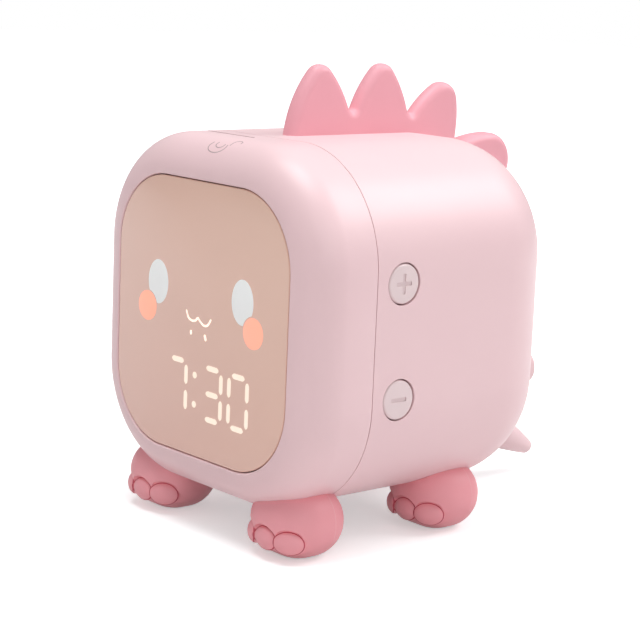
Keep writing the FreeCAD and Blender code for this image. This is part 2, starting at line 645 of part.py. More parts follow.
def rear_shell():
    outer = case_block("rear_outer", ZERO, seam_y, rear_y, rear_round=size.rear_round)
    cavity = case_block(
        "rear_cavity", size.wall, seam_y, inner_rear_y, rear_round=size.rear_round - size.wall
    )
    depth = size.body_depth - size.front_depth
    posts = [
        cylinder(f"screw_well_{n}", size.well_radius + size.well_wall, depth, x, seam_y, z,
                 TO_REAR)
        for n, (x, z) in enumerate(case_screw_places)
    ]
    posts += [
        cylinder(f"main_board_post_{n}", size.post_radius, size.main_board_inset, x,
                 main_board_y, z, TO_REAR)
        for n, (x, z) in enumerate(main_board_post_places)
    ]
    posts += [
        cylinder(f"side_board_post_{n}", size.post_radius, side_x - side_board_x, side_board_x,
                 y, z, TO_RIGHT)
        for n, (y, z) in enumerate(side_board_post_places)
    ]
    posts += [
        cylinder(f"rear_foot_boss_{n}", size.foot_boss_radius, size.foot_boss_rise, x, y,
                 size.body_lift, UP)
        for n, (x, y) in enumerate(paw_places.values())
        if y.value > seam_y.value
    ]
    posts += [
        cylinder(f"side_sleeve_{n}", size.button_radius + size.button_gap + size.sleeve_wall,
                 side_x - side_flange_x, side_flange_x + size.seat_gap, side_button_y, z,
                 TO_RIGHT)
        for n, z in enumerate((plus_z, minus_z))
    ]
    posts += [
        cylinder(f"rear_sleeve_{n}", size.button_radius + size.button_gap + size.sleeve_wall,
                 rear_y - rear_flange_y, x, rear_flange_y + size.seat_gap, rear_button_z,
                 TO_REAR)
        for n, x in enumerate((-rear_button_x, rear_button_x))
    ]
    posts.append(cylinder("spike_boss", size.trim_boss_radius, size.wall + size.trim_boss_height,
                          *spike_axis(-size.wall - size.trim_boss_height)))
    posts.append(cylinder("tail_boss", size.trim_boss_radius, size.wall + size.trim_boss_height,
                          *tail_axis(-size.wall)))
    ring_outer = cylinder(
        "speaker_ring_outer", size.speaker_radius + size.fit_gap + size.speaker_ring_wall,
        size.speaker_ring_height, ZERO, inner_rear_y - size.speaker_ring_height, speaker_z,
        TO_REAR,
    )
    ring_inner = cylinder(
        "speaker_ring_inner", size.speaker_radius + size.fit_gap, size.speaker_ring_height,
        ZERO, inner_rear_y - size.speaker_ring_height, speaker_z, TO_REAR,
    )
    posts.append(cut("speaker_ring", ring_outer, ring_inner))
    hollow = cut("rear_hollow", cavity, fuse("rear_posts", posts))
    holes = [
        cylinder(f"well_bore_{n}", size.well_radius, depth, x,
                 well_floor_y, z, TO_REAR)
        for n, (x, z) in enumerate(case_screw_places)
    ]
    holes += [
        cylinder(f"well_hole_{n}", size.case_screw_radius + size.fit_gap,
                 size.well_floor + 2 * size.cut_over, x, seam_y - size.cut_over, z, TO_REAR)
        for n, (x, z) in enumerate(case_screw_places)
    ]
    holes += [
        cylinder(f"main_board_pilot_{n}", size.board_screw_radius + size.seat_gap,
                 size.board_screw_length, x, main_board_y, z, TO_REAR)
        for n, (x, z) in enumerate(main_board_post_places)
    ]
    holes += [
        cylinder(f"side_board_pilot_{n}", size.board_screw_radius + size.seat_gap,
                 size.board_screw_length, side_board_x, y, z, TO_RIGHT)
        for n, (y, z) in enumerate(side_board_post_places)
    ]
    holes += [
        cylinder(f"rear_foot_hole_{n}", size.foot_screw_radius + size.seat_gap,
                 size.foot_boss_rise + 2 * size.cut_over, x, y,
                 size.body_lift - size.cut_over, UP)
        for n, (x, y) in enumerate(paw_places.values())
        if y.value > seam_y.value
    ]
    holes += [
        cylinder(f"side_button_hole_{n}", size.button_radius + size.button_gap,
                 size.wall + 3 * size.cut_over, side_x - size.wall - 1.5 * size.cut_over,
                 side_button_y, z, TO_RIGHT)
        for n, z in enumerate((plus_z, minus_z))
    ]
    holes += [
        cylinder(f"rear_button_hole_{n}", size.button_radius + size.button_gap,
                 size.rear_round, x, rear_y - size.rear_round / 2, rear_button_z, TO_REAR)
        for n, x in enumerate((-rear_button_x, rear_button_x))
    ]
    holes += grille_holes()
    holes += [
        cylinder(f"crest_screw_hole_{n}", size.trim_screw_radius + size.seat_gap,
                 size.wall + 2 * size.cut_over, ZERO, y, top_z - size.wall - size.cut_over, UP)
        for n, y in enumerate(crest_screw_ys)
    ]
    holes.append(cylinder("spike_screw_hole", size.trim_screw_radius + size.seat_gap,
                          size.wall + 4 * size.cut_over,
                          *spike_axis(-size.wall - 2 * size.cut_over)))
    holes.append(cylinder("tail_screw_hole", size.trim_screw_radius + size.seat_gap,
                          size.wall + 8 * size.cut_over,
                          *tail_axis(-size.wall - 6 * size.cut_over)))
    holes.append(box(
        "socket_hole",
        (-(size.socket_width / 2 + size.fit_gap), inner_rear_y - size.cut_over,
         rear_button_z - size.socket_height / 2 - size.fit_gap),
        (size.socket_width / 2 + size.fit_gap, rear_y + size.cut_over,
         rear_button_z + size.socket_height / 2 + size.fit_gap),
    ))
    holes.append(lip_ring(
        "lip_rebate", size.wall - size.lip_wall - size.lip_gap,
        size.wall + size.lip_step + size.lip_gap, seam_y, size.lip_length + size.fit_gap,
    ))
    return cut("rear_shell", outer, fuse("rear_cuts", [hollow] + holes))


def grille_holes():
    """A hole in the middle and rings of holes about it, six more in each ring."""
    holes = []
    for ring in range(GRILLE_RINGS + 1):
        count = max(1, 6 * ring)
        for number in range(count):
            angle = 2 * math.pi * number / count
            x = ring * size.grille_pitch * math.sin(angle)
            z = speaker_z + ring * size.grille_pitch * math.cos(angle)
            holes.append(
                cylinder(f"grille_hole_{ring}_{number}", size.grille_hole_radius,
                         size.wall + 2 * size.cut_over, x, inner_rear_y - size.cut_over,
                         z, TO_REAR)
            )
    return holes


def spike_axis(distance):
    """A point on the rear lobe's middle line, counted from the case's surface, and its slant."""
    reach = size.rear_round + distance
    y = rear_y - size.rear_round + reach * cosine(size.spike_angle)
    z = top_z - size.rear_round + reach * sine(size.spike_angle)
    return ZERO, y, z, Rotation(Vector(1, 0, 0), size.spike_angle.value - 90)


def tail_axis(distance):
    """A point on the tail's middle line, counted from its root, and its slant."""
    y = tail_root_y + distance * cosine(size.tail_drop)
    z = tail_root_z - distance * sine(size.tail_drop)
    return ZERO, y, z, Rotation(Vector(1, 0, 0), -size.tail_drop.value - 90)


# The window and the display behind it

def face_lens():
    body = window_block(
        "face_lens", lens_width, lens_height, lens_corner, front_y,
        size.lens_thickness,
    )
    round_edges(body, body.Tip, lies_at("Y", front_y), size.lens_edge)
    return body


def lens_tape():
    outer = window_block(
        "tape_outer", lens_width, lens_height, lens_corner, lens_back_y,
        size.tape_thickness,
    )
    inner = window_block(
        "tape_inner", lens_width - 2 * size.tape_width,
        lens_height - 2 * size.tape_width, lens_corner - size.tape_width,
        lens_back_y, size.tape_thickness,
    )
    return cut("lens_tape", outer, inner)


def light_diffuser():
    plate = window_block(
        "diffuser_plate", window_width + 2 * size.diffuser_overlap,
        window_height + 2 * size.diffuser_overlap, window_corner + size.diffuser_overlap,
        ledge_back_y, size.diffuser_thickness,
    )
    reach_x = size.housing_width / 2 + size.fit_gap
    reach_z = size.housing_height / 2 + size.fit_gap
    opening = box(
        "diffuser_opening",
        (size.display_x - reach_x, ledge_back_y, display_z - reach_z),
        (size.display_x + reach_x, ledge_back_y + size.diffuser_thickness, display_z + reach_z),
    )
    return cut("light_diffuser", plate, opening)


def draw_segment(sketch, x, y, upright, shrink):
    """A six-sided segment about x, y, smaller all round by shrink."""
    half_width = size.segment_width / 2 - shrink
    half_length = size.segment_length / 2 - shrink
    shoulder = half_length - half_width
    corners = [
        (-shoulder, -half_width), (shoulder, -half_width), (half_length, ZERO),
        (shoulder, half_width), (-shoulder, half_width), (-half_length, ZERO),
    ]
    if upright:
        corners = [(-across, along) for along, across in corners]
    draw_polygon(sketch, [(x + across, y + along) for across, along in corners])


def digit_prisms(name, x, shrink, depth):
    """The seven segments of one digit, run from the housing's front to the rear."""
    sketch = doc.addObject("Sketcher::SketchObject", f"{name}_sketch")
    place(sketch, x, housing_front_y, display_z, TO_FRONT)
    for level in (-1, 0, 1):
        draw_segment(sketch, ZERO, level * size.digit_half_height, False, shrink)
    for sign_x in (-1, 1):
        for sign_z in (-1, 1):
            draw_segment(sketch, sign_x * size.digit_half_width,
                         sign_z * size.digit_half_height / 2, True, shrink)
    prisms = label(doc.addObject("Part::Extrusion", name), name)
    prisms.Base = sketch
    prisms.DirMode = "Custom"
    prisms.Dir = Vector(0, 1, 0)
    prisms.Solid = True
    bind(prisms, "LengthFwd", depth)
    return prisms


digit_xs = [
    size.display_x + sign * offset
    for sign, offset in ((-1, size.digit_outer_x), (-1, size.digit_inner_x),
                         (1, size.digit_inner_x), (1, size.digit_outer_x))
]
colon_zs = [display_z - size.colon_spread, display_z + size.colon_spread]


def segment_prisms(name, shrink, depth):
    """All segments of the four digits and the two dots between them."""
    items = [digit_prisms(f"{name}_digit_{n}", x, shrink, depth) for n, x in enumerate(digit_xs)]
    items += [
        cylinder(f"{name}_dot_{n}", size.colon_radius - shrink, depth, size.display_x,
                 housing_front_y, z, TO_REAR)
        for n, z in enumerate(colon_zs)
    ]
    return items


def segment_housing():
    """The block of light wells: one well for each segment, open at both ends."""
    block = box(
        "housing_block",
        (size.display_x - size.housing_width / 2, housing_front_y,
         display_z - size.housing_height / 2),
        (size.display_x + size.housing_width / 2, front_board_y,
         display_z + size.housing_height / 2),
    )
    wells = group("housing_wells", segment_prisms("well", ZERO, size.housing_depth))
    return cut("segment_housing", block, wells)


def segment_windows():
    return group("segment_windows", segment_prisms("window", size.seat_gap, size.guide_depth))


def led(name, x, z):
    half = size.led_width / 2
    return box(name, (x - half, front_board_y - size.led_height, z - half),
               (x + half, front_board_y, z + half))


def display_leds():
    """One LED for each digit's upright pair and one for the colon."""
    items = [
        cylinder(f"display_led_{n}_{k}", size.segment_width / 2 - size.fit_gap, size.led_height,
                 x + sign_x * size.digit_half_width, front_board_y - size.led_height,
                 display_z + sign_z * size.digit_half_height / 2, TO_REAR)
        for n, x in enumerate(digit_xs)
        for k, (sign_x, sign_z) in enumerate(((-1, -1), (-1, 1), (1, -1), (1, 1)))
    ]
    items += [
        cylinder(f"display_led_{n}_level_{k}", size.segment_width / 2 - size.fit_gap,
                 size.led_height, x, front_board_y - size.led_height,
                 display_z + level * size.digit_half_height, TO_REAR)
        for n, x in enumerate(digit_xs)
        for k, level in enumerate((-1, 0, 1))
    ]
    items += [
        cylinder(f"colon_led_{n}", size.colon_radius - size.fit_gap, size.led_height,
                 size.display_x, front_board_y - size.led_height, z, TO_REAR)
        for n, z in enumerate(colon_zs)
    ]
    return group("display_leds", items)


def night_light_leds():
    """A row of six LEDs across the night-light board."""
    items = [
        led(f"night_led_{n}", (n - 2.5) * size.night_led_pitch, night_board_z)
        for n in range(6)
    ]
    return group("night_light_leds", items)


# Circuit boards, switches and what is on them

def front_board(name, middle_z):
    reach_x, reach_z = front_board_width / 2, size.front_board_height / 2
    plate = box(
        f"{name}_plate", (-reach_x, front_board_y, middle_z - reach_z),
        (reach_x, front_board_y + size.board_thickness, middle_z + reach_z),
    )
    holes = [
        cylinder(f"{name}_hole_{n}", size.board_screw_radius + size.fit_gap,
                 size.board_thickness, x, front_board_y, z, TO_REAR)
        for n, (x, z) in enumerate(four_corners(front_post_x, size.front_post_spread,
                                                middle_z))
    ]
    return cut(name, plate, group(f"{name}_holes", holes))


def main_board():
    reach_x, reach_z = main_board_width / 2, size.main_board_height / 2
    front = main_board_y - size.board_thickness
    plate = box("main_board_plate", (-reach_x, front, rear_button_z - reach_z),
                (reach_x, main_board_y, rear_button_z + reach_z))
    holes = [
        cylinder(f"main_board_hole_{n}", size.board_screw_radius + size.fit_gap,
                 size.board_thickness, x, front, z, TO_REAR)
        for n, (x, z) in enumerate(main_board_post_places)
    ]
    return cut("main_board", plate, group("main_board_holes", holes))


def main_board_chips():
    """Controller, sound chip, coil and clock crystal on the board's front side."""
    chips = (("controller", -9.0, 0.0, 10.0, 10.0, 1.6), ("sound_chip", 8.0, 3.0, 6.0, 5.0, 1.5),
             ("coil", 27.0, -3.0, 6.0, 6.0, 3.0), ("crystal", -27.0, 4.0, 8.0, 3.0, 3.0))
    front = main_board_y - size.board_thickness
    items = [
        box(name, (as_size(x - width / 2), front - height, rear_button_z + (z - length / 2)),
            (as_size(x + width / 2), front, rear_button_z + (z + length / 2)))
        for name, x, z, width, length, height in chips
    ]
    return group("main_board_chips", items)


def side_board():
    reach_y, reach_z = size.side_board_width / 2, size.side_board_height / 2
    plate = box(
        "side_board_plate",
        (side_board_x - size.board_thickness, side_button_y - reach_y,
         side_board_z - reach_z),
        (side_board_x, side_button_y + reach_y, side_board_z + reach_z),
    )
    holes = [
        cylinder(f"side_board_hole_{n}", size.board_screw_radius + size.fit_gap,
                 size.board_thickness, side_board_x - size.board_thickness, y, z, TO_RIGHT)
        for n, (y, z) in enumerate(side_board_post_places)
    ]
    return cut("side_board", plate, group("side_board_holes", holes))


def plunger_bore(name, x, y, z, turn):
    """The hole in a switch housing that its plunger slides in, from its bottom to the face."""
    return cylinder(name, size.plunger_radius + size.seat_gap, plunger_bore_depth, x, y, z, turn)


plunger_bore_depth = size.plunger_depth + size.button_travel + size.travel_room


def side_switches():
    half = size.switch_width / 2
    items = []
    for number, z in enumerate((plus_z, minus_z)):
        block = box(f"side_switch_block_{number}",
                    (side_board_x, side_button_y - half, z - half),
                    (side_switch_x, side_button_y + half, z + half))
        bore = plunger_bore(f"side_switch_bore_{number}", side_switch_x - plunger_bore_depth,
                            side_button_y, z, TO_RIGHT)
        items.append(cut(f"side_switch_{number}", block, bore))
    return group("side_switches", items)


def rear_switches():
    half = size.switch_width / 2
    items = []
    for number, x in enumerate((-rear_button_x, rear_button_x)):
        block = box(f"rear_switch_block_{number}", (x - half, main_board_y, rear_button_z - half),
                    (x + half, rear_switch_y, rear_button_z + half))
        bore = plunger_bore(f"rear_switch_bore_{number}", x, rear_switch_y - plunger_bore_depth,
                            rear_button_z, TO_REAR)
        items.append(cut(f"rear_switch_{number}", block, bore))
    return group("rear_switches", items)


def plunger(name, x, y, z, turn):
    """A plunger whose tip is at x, y, z, pointing out of the case."""
    length = size.plunger_depth + size.plunger_stand
    back = turn.multVec(Vector(0, 0, 1))
    return cylinder(name, size.plunger_radius, length, x - back.x * length,
                    y - back.y * length, z - back.z * length, turn)


def button(name, cap_height, x, y, z, turn):
    """A cap with a flange under it and a stem, its outer face at x, y, z."""
    body = new_body(name)
    sketch = new_sketch(body, "XZ_Plane")
    flange = size.button_radius + size.button_flange
    under = cap_height + size.flange_thickness
    tip = cap_height + size.switch_room - size.plunger_stand
    draw_polygon(sketch, [
        (ZERO, ZERO), (ZERO, -tip), (size.stem_radius, -tip), (size.stem_radius, -under),
        (flange, -under), (flange, -cap_height), (size.button_radius, -cap_height),
        (size.button_radius, ZERO),
    ])
    feature = revolve(body, sketch, "V_Axis")
    round_edges(body, feature, lies_at("Z", ZERO), size.button_edge)
    return place(body, x, y, z, turn)


def charging_socket():
    """A flat metal shell with a tongue inside, standing on the main board."""
    reach_x, reach_z = size.socket_width / 2, size.socket_height / 2
    mouth_y = rear_y - size.socket_recess
    shell = box("socket_shell", (-reach_x, main_board_y, rear_button_z - reach_z),
                (reach_x, mouth_y, rear_button_z + reach_z))
    inner_x, inner_z = reach_x - size.socket_wall, reach_z - size.socket_wall
    inside = box("socket_inside",
                 (-inner_x, (main_board_y + mouth_y) / 2, rear_button_z - inner_z),
                 (inner_x, mouth_y, rear_button_z + inner_z))
    tongue_x, tongue_z = inner_x - 2 * size.socket_wall, size.socket_tongue / 2
    tongue = box("socket_tongue_bar",
                 (-tongue_x, (main_board_y + mouth_y) / 2, rear_button_z - tongue_z),
                 (tongue_x, mouth_y - 2 * size.socket_wall, rear_button_z + tongue_z))
    return fuse("charging_socket", [cut("socket_case", shell, inside), tongue])


# Speaker, battery and touch pad

def turned(name, corners, x, y, z, turn):
    """A piece turned about its own axis, its outline as (radius, height) pairs."""
    body = new_body(name)
    sketch = new_sketch(body, "XZ_Plane")
    draw_polygon(sketch, corners)
    revolve(body, sketch, "V_Axis")
    return place(body, x, y, z, turn)


def speaker_frame():
    rim, depth = size.speaker_radius, size.speaker_depth - size.magnet_height
    inner = rim - 2 * size.speaker_rim
    return turned("speaker_frame", [
        (ZERO, -depth), (size.magnet_radius, -depth), (rim - size.speaker_rim, -size.speaker_rim),
        (rim, -size.speaker_rim), (rim, ZERO), (inner, ZERO),
        (inner, -size.speaker_rim / 2), (size.magnet_radius - size.basket_wall, size.basket_wall - depth),
        (ZERO, size.basket_wall - depth),
    ], ZERO, speaker_rim_y, speaker_z, TO_REAR)


def speaker_magnet():
    return cylinder("speaker_magnet", size.magnet_radius, size.magnet_height, ZERO,
                    speaker_rim_y - size.speaker_depth, speaker_z, TO_REAR)


def speaker_cone():
    """A thin cone with a domed cap, hung in the frame's rim."""
    edge = size.speaker_radius - 2 * size.speaker_rim - size.fit_gap
    coil = size.magnet_radius / 2
    depth = size.speaker_depth - size.magnet_height - size.basket_wall - size.fit_gap
    sheet = size.cone_thickness
    return turned("speaker_cone", [
        (ZERO, -depth), (coil, -depth), (edge - 1, -2 * sheet), (edge, -2 * sheet),
        (edge, -sheet), (edge - 1, -sheet), (coil, sheet - depth),
        (coil / 2, coil / 2 - depth), (ZERO, coil * 0.6 - depth),
    ], ZERO, speaker_rim_y, speaker_z, TO_REAR)


def speaker_gasket():
    outer = cylinder("gasket_outer", size.speaker_radius, size.gasket_thickness, ZERO,
                     speaker_rim_y, speaker_z, TO_REAR)
    inner = cylinder("gasket_inner", size.speaker_radius - size.gasket_width,
                     size.gasket_thickness, ZERO, speaker_rim_y, speaker_z, TO_REAR)
    return cut("speaker_gasket", outer, inner)


def battery_pad():
    reach_x, reach_y = size.battery_width / 2, size.battery_length / 2
    return box("battery_pad", (-reach_x, -reach_y, floor_inside_z),
               (reach_x, reach_y, floor_inside_z + size.pad_thickness))


def battery_pack():
    """A flat cell in its wrap, round along its two long edges."""
    body = new_body("battery_pack")
    sketch = new_sketch(body, "XZ_Plane")
    middle = floor_inside_z + size.pad_thickness + size.battery_height / 2
    draw_rounded(sketch, ZERO, middle, size.battery_width, size.battery_height,
                 size.battery_round)
    pad(body, sketch, size.battery_length, both_ways=True)
    return place(body)


def touch_pad():
    """A copper pad under the head, where the symbol is touched."""
    front = ledge_back_y + size.front_round - size.wall + size.fit_gap
    return box("touch_pad",
               (-size.touch_width / 2, front, top_z - size.wall - size.touch_thickness),
               (size.touch_width / 2, front + size.touch_length, top_z - size.wall))


# Crest, fourth lobe, tail and paws

def flank_centre(foot, tip, tip_radius, flank_radius, side):
    """Centre of the arc that leaves the foot and meets the tip's circle smoothly."""
    away = tip - foot
    apart = away.Length
    reach = flank_radius - tip_radius
    along = (flank_radius ** 2 - reach ** 2 + apart ** 2) / (2 * apart)
    across = math.sqrt(flank_radius ** 2 - along ** 2)
    away.normalize()
    return foot + away * along + Vector(away.y, -away.x, 0) * side * across


def draw_arc(sketch, centre, radius, start, end):
    """An arc of a circle from one point to another, against the clock."""
    from_angle = math.atan2(start.y - centre.y, start.x - centre.x)
    to_angle = math.atan2(end.y - centre.y, end.x - centre.x)
    if to_angle <= from_angle:
        to_angle += 2 * math.pi
    circle = Part.Circle(centre, Vector(0, 0, 1), radius)
    return sketch.addGeometry(Part.ArcOfCircle(circle, from_angle, to_angle))


def draw_lobe(sketch, front_foot, tip, tip_radius, rear_foot, flank_radius, joined_to=None):
    """A rounded lobe: a flank up from each foot and an arc over the tip.

    joined_to is the arc of the lobe in front that starts where this one's front flank ends.
    """
    front_point = Vector(front_foot[0].value, front_foot[1].value, 0)
    rear_point = Vector(rear_foot[0].value, rear_foot[1].value, 0)
    tip_point = Vector(tip[0].value, tip[1].value, 0)
    radius, flank = tip_radius.value, flank_radius.value
    front_centre = flank_centre(front_point, tip_point, radius, flank, 1)
    rear_centre = flank_centre(rear_point, tip_point, radius, flank, -1)
    front_touch = tip_point + (tip_point - front_centre).normalize() * radius
    rear_touch = tip_point + (tip_point - rear_centre).normalize() * radius
    front_arc = draw_arc(sketch, front_centre, flank, front_touch, front_point)
    tip_arc = draw_arc(sketch, tip_point, radius, rear_touch, front_touch)
    rear_arc = draw_arc(sketch, rear_centre, flank, rear_point, rear_touch)
    sketch.addConstraint(Sketcher.Constraint("Tangent", front_arc, 1, tip_arc, 2))
    sketch.addConstraint(Sketcher.Constraint("Tangent", tip_arc, 1, rear_arc, 2))
    if joined_to is None:
        pin_point(sketch, front_arc, 2, *front_foot)
    else:
        sketch.addConstraint(Sketcher.Constraint("Coincident", front_arc, 2, joined_to, 1))
    pin_point(sketch, rear_arc, 1, *rear_foot)
    pin_point(sketch, tip_arc, 3, *tip)
    hold(sketch, "Radius", tip_arc, length=tip_radius)
    hold(sketch, "Radius", front_arc, length=flank_radius)
    hold(sketch, "Radius", rear_arc, length=flank_radius)
    return front_arc, rear_arc


def close_outline(sketch, front_arc, rear_arc):
    """A straight line inside the case from the last foot back to the first."""
    ends = sketch.getPoint(rear_arc, 1), sketch.getPoint(front_arc, 2)
    line = sketch.addGeometry(Part.LineSegment(*ends))
    sketch.addConstraint(Sketcher.Constraint("Coincident", rear_arc, 1, line, 1))
    sketch.addConstraint(Sketcher.Constraint("Coincident", line, 2, front_arc, 2))


def is_side_arc(edge):
    """A test for the curved edges of a plate's two sides."""
    box_of_edge = edge.BoundBox
    return isinstance(edge.Curve, Part.Circle) and box_of_edge.XLength < 0.01


def crest():
    body = new_body("crest_plate")
    sketch = new_sketch(body, "YZ_Plane")
    rear_surface_z = top_z - size.rear_round + root(
        size.rear_round * size.rear_round
        - (crest_rear_y - rear_y + size.rear_round)
        * (crest_rear_y - rear_y + size.rear_round)
    )
    front_foot = (crest_front_y, top_z - size.cut_over)
    first_valley = (first_valley_y, top_z + size.first_valley_rise)
    second_valley = (second_valley_y, top_z + size.second_valley_rise)
    rear_foot = (crest_rear_y, rear_surface_z - size.root_depth)
    first_arc, joint = draw_lobe(
        sketch, front_foot, (first_lobe_y, top_z + size.first_lobe_rise),
        size.first_lobe_radius, first_valley, size.flank_radius,
    )
    _, joint = draw_lobe(
        sketch, first_valley, (second_lobe_y, top_z + size.second_lobe_rise),
        size.second_lobe_radius, second_valley, size.flank_radius, joint,
    )
    _, last_arc = draw_lobe(
        sketch, second_valley, (third_lobe_y, top_z + size.third_lobe_rise),
        size.third_lobe_radius, rear_foot, size.flank_radius, joint,
    )
    close_outline(sketch, first_arc, last_arc)
    feature = pad(body, sketch, size.crest_thickness, both_ways=True)

    def is_valley(edge):
        middle = edge.CenterOfMass
        spans = edge.BoundBox.XLength > size.crest_thickness.value / 2
        return spans and any(
            abs(middle.z - valley[1].value) < 0.01 for valley in (first_valley, second_valley)
        )

    feature = round_edges(body, feature, is_valley, size.crest_valley_radius)
    round_edges(body, feature, is_side_arc, size.crest_round)
    place(body)
    holes = [
        cylinder(f"crest_pilot_{n}", size.trim_screw_radius + size.seat_gap,
                 size.trim_screw_length, ZERO, y, top_z - size.wall, UP)
        for n, y in enumerate(crest_screw_ys)
    ]
    return cut("crest", body, fuse("crest_cuts", [envelope] + holes))


def rear_spike():
    """The fourth lobe, on the rear edge, leaning back."""
    body = new_body("spike_plate")
    sketch = new_sketch(body, "YZ_Plane")
    _, root_y, root_z, _ = spike_axis(-size.root_depth)
    _, tip_y, tip_z, _ = spike_axis(size.spike_reach)
    across_y = -size.spike_half_width * sine(size.spike_angle)
    across_z = size.spike_half_width * cosine(size.spike_angle)
    front_arc, rear_arc = draw_lobe(
        sketch, (root_y + across_y, root_z + across_z), (tip_y, tip_z), size.spike_radius,
        (root_y - across_y, root_z - across_z), size.spike_flank_radius,
    )
    close_outline(sketch, front_arc, rear_arc)
    feature = pad(body, sketch, size.spike_thickness, both_ways=True)
    round_edges(body, feature, is_side_arc, size.spike_round)
    place(body)
    reach = size.rear_round
    ahead = box("ahead_of_spike",
                (-size.spike_thickness, crest_rear_y - reach, top_z - reach),
                (size.spike_thickness,
                 crest_rear_y + size.crest_bulge + size.spike_gap, top_z + reach))
    hole = cylinder("spike_pilot", size.trim_screw_radius + size.seat_gap,
                    size.trim_screw_length, *spike_axis(-size.wall - size.trim_boss_height))
    return cut("rear_spike", body, fuse("spike_cuts", [envelope, ahead, hole]))


def tail():
    """A tapering tail with a round tip, cut to the case where it meets it."""
    body = new_body("tail_cone")
    sketch = new_sketch(body, "XZ_Plane")
    tip = Vector(0, (size.tail_length - size.tail_tip_radius).value, 0)
    foot = Vector(size.tail_root_radius.value, 0, 0)
    radius, flank = size.tail_tip_radius.value, size.tail_flank_radius.value
    centre = flank_centre(foot, tip, radius, flank, -1)
    touch = tip + (tip - centre).normalize() * radius
    end = tip + Vector(0, radius, 0)
    flank_arc = draw_arc(sketch, centre, flank, foot, touch)
    tip_arc = draw_arc(sketch, tip, radius, touch, end)
    inner = Vector(0, -size.root_depth.value, 0)
    corner = Vector(foot.x, inner.y, 0)
    axis_line = sketch.addGeometry(Part.LineSegment(end, inner))
    root_line = sketch.addGeometry(Part.LineSegment(inner, corner))
    side_line = sketch.addGeometry(Part.LineSegment(corner, foot))
    sketch.addConstraint(Sketcher.Constraint("Tangent", flank_arc, 2, tip_arc, 1))
    sketch.addConstraint(Sketcher.Constraint("Coincident", tip_arc, 2, axis_line, 1))
    sketch.addConstraint(Sketcher.Constraint("Coincident", axis_line, 2, root_line, 1))
    sketch.addConstraint(Sketcher.Constraint("Coincident", root_line, 2, side_line, 1))
    sketch.addConstraint(Sketcher.Constraint("Coincident", side_line, 2, flank_arc, 1))
    sketch.addConstraint(Sketcher.Constraint("Vertical", axis_line))
    pin_point(sketch, flank_arc, 1, size.tail_root_radius, ZERO)
    pin_point(sketch, root_line, 1, ZERO, -size.root_depth)
    pin_point(sketch, root_line, 2, size.tail_root_radius, -size.root_depth)
    pin_point(sketch, tip_arc, 3, ZERO, size.tail_length - size.tail_tip_radius)
    hold(sketch, "Radius", tip_arc, length=size.tail_tip_radius)
    hold(sketch, "Radius", flank_arc, length=size.tail_flank_radius)
    revolve(body, sketch, "V_Axis")
    place(body, *tail_axis(ZERO))
    hole = cylinder("tail_pilot", size.trim_screw_radius + size.seat_gap,
                    size.trim_screw_length, *tail_axis(-size.wall))
    return cut("tail", body, fuse("tail_cuts", [envelope, hole]))


def ellipsoid(name, across, deep, high, x, y, z, turn):
    item = label(doc.addObject("Part::Ellipsoid", name), name)
    for side, radius in (("Radius1", high), ("Radius2", across), ("Radius3", deep)):
        bind(item, side, radius)
    return place(item, x, y, z, turn)


def paw(name, x, y):
    """A rounded paw with three toes in front, each in its groove, cut to the case above it."""
    body = new_body(f"{name}_block")
    sketch = new_sketch(body, "XY_Plane")
    draw_rounded(sketch, x, y, size.paw_width, size.paw_depth, size.paw_corner)
    feature = pad(body, sketch, size.paw_height)
    feature = round_edges(body, feature, lies_at("Z", ZERO), size.paw_round)
    round_edges(body, feature, lies_at("Z", size.paw_height), size.paw_round)
    place(body)
    straight = size.paw_width / 2 - size.paw_corner
    off_corner = size.toe_spread - straight
    drop = size.paw_corner - root(size.paw_corner * size.paw_corner - off_corner * off_corner)
    lean = math.degrees(math.asin(off_corner.value / size.paw_corner.value))
    toes, grooves = [], []
    for side in (-1, 0, 1):
        turn = Rotation(Vector(0, 0, 1), side * lean)
        inward = turn.multVec(Vector(0, 1, 0))
        skin_x = x + side * size.toe_spread
        skin_y = y - size.paw_depth / 2 + abs(side) * drop
        toes.append(ellipsoid(
            f"{name}_toe_{side + 1}", size.toe_width / 2, size.toe_depth / 2,
            size.toe_height / 2, skin_x + inward.x * size.toe_sink,
            skin_y + inward.y * size.toe_sink, size.toe_rise, turn,
        ))
        grooves.append(ellipsoid(
            f"{name}_groove_{side + 1}", size.toe_width / 2 + size.toe_groove,
            size.groove_depth, size.toe_height / 2 + size.toe_groove, skin_x, skin_y,
            size.toe_rise, turn,
        ))
    grooved = cut(f"{name}_grooved", body, fuse(f"{name}_grooves", grooves))
    whole = fuse(f"{name}_toes", [grooved] + toes)
    hole = cylinder(f"{name}_pilot", size.foot_screw_radius + size.seat_gap, size.paw_height,
                    x, y, size.paw_pilot_z, UP)
    return cut(name, whole, fuse(f"{name}_cuts", [envelope, hole]))


# Screws, each drawn with the seat of its head at the origin and its shank along +Z

def screw(name, shank, head, length, x, y, z, turn):
    return turned(name, [
        (ZERO, -size.screw_head_height), (head, -size.screw_head_height), (head, ZERO),
        (shank, ZERO), (shank, length), (ZERO, length),
    ], x, y, z, turn)


def case_screws():
    return group("case_screws", [
        screw(f"case_screw_{n}", size.case_screw_radius, size.case_screw_head,
              size.case_screw_length, x, well_floor_y, z, TO_FRONT)
        for n, (x, z) in enumerate(case_screw_places)
    ])


def foot_screws():
    return group("foot_screws", [
        screw(f"foot_screw_{n}", size.foot_screw_radius, size.foot_screw_head,
              size.foot_screw_length, x, y, size.body_lift + size.foot_boss_rise, DOWN)
        for n, (x, y) in enumerate(paw_places.values())
    ])


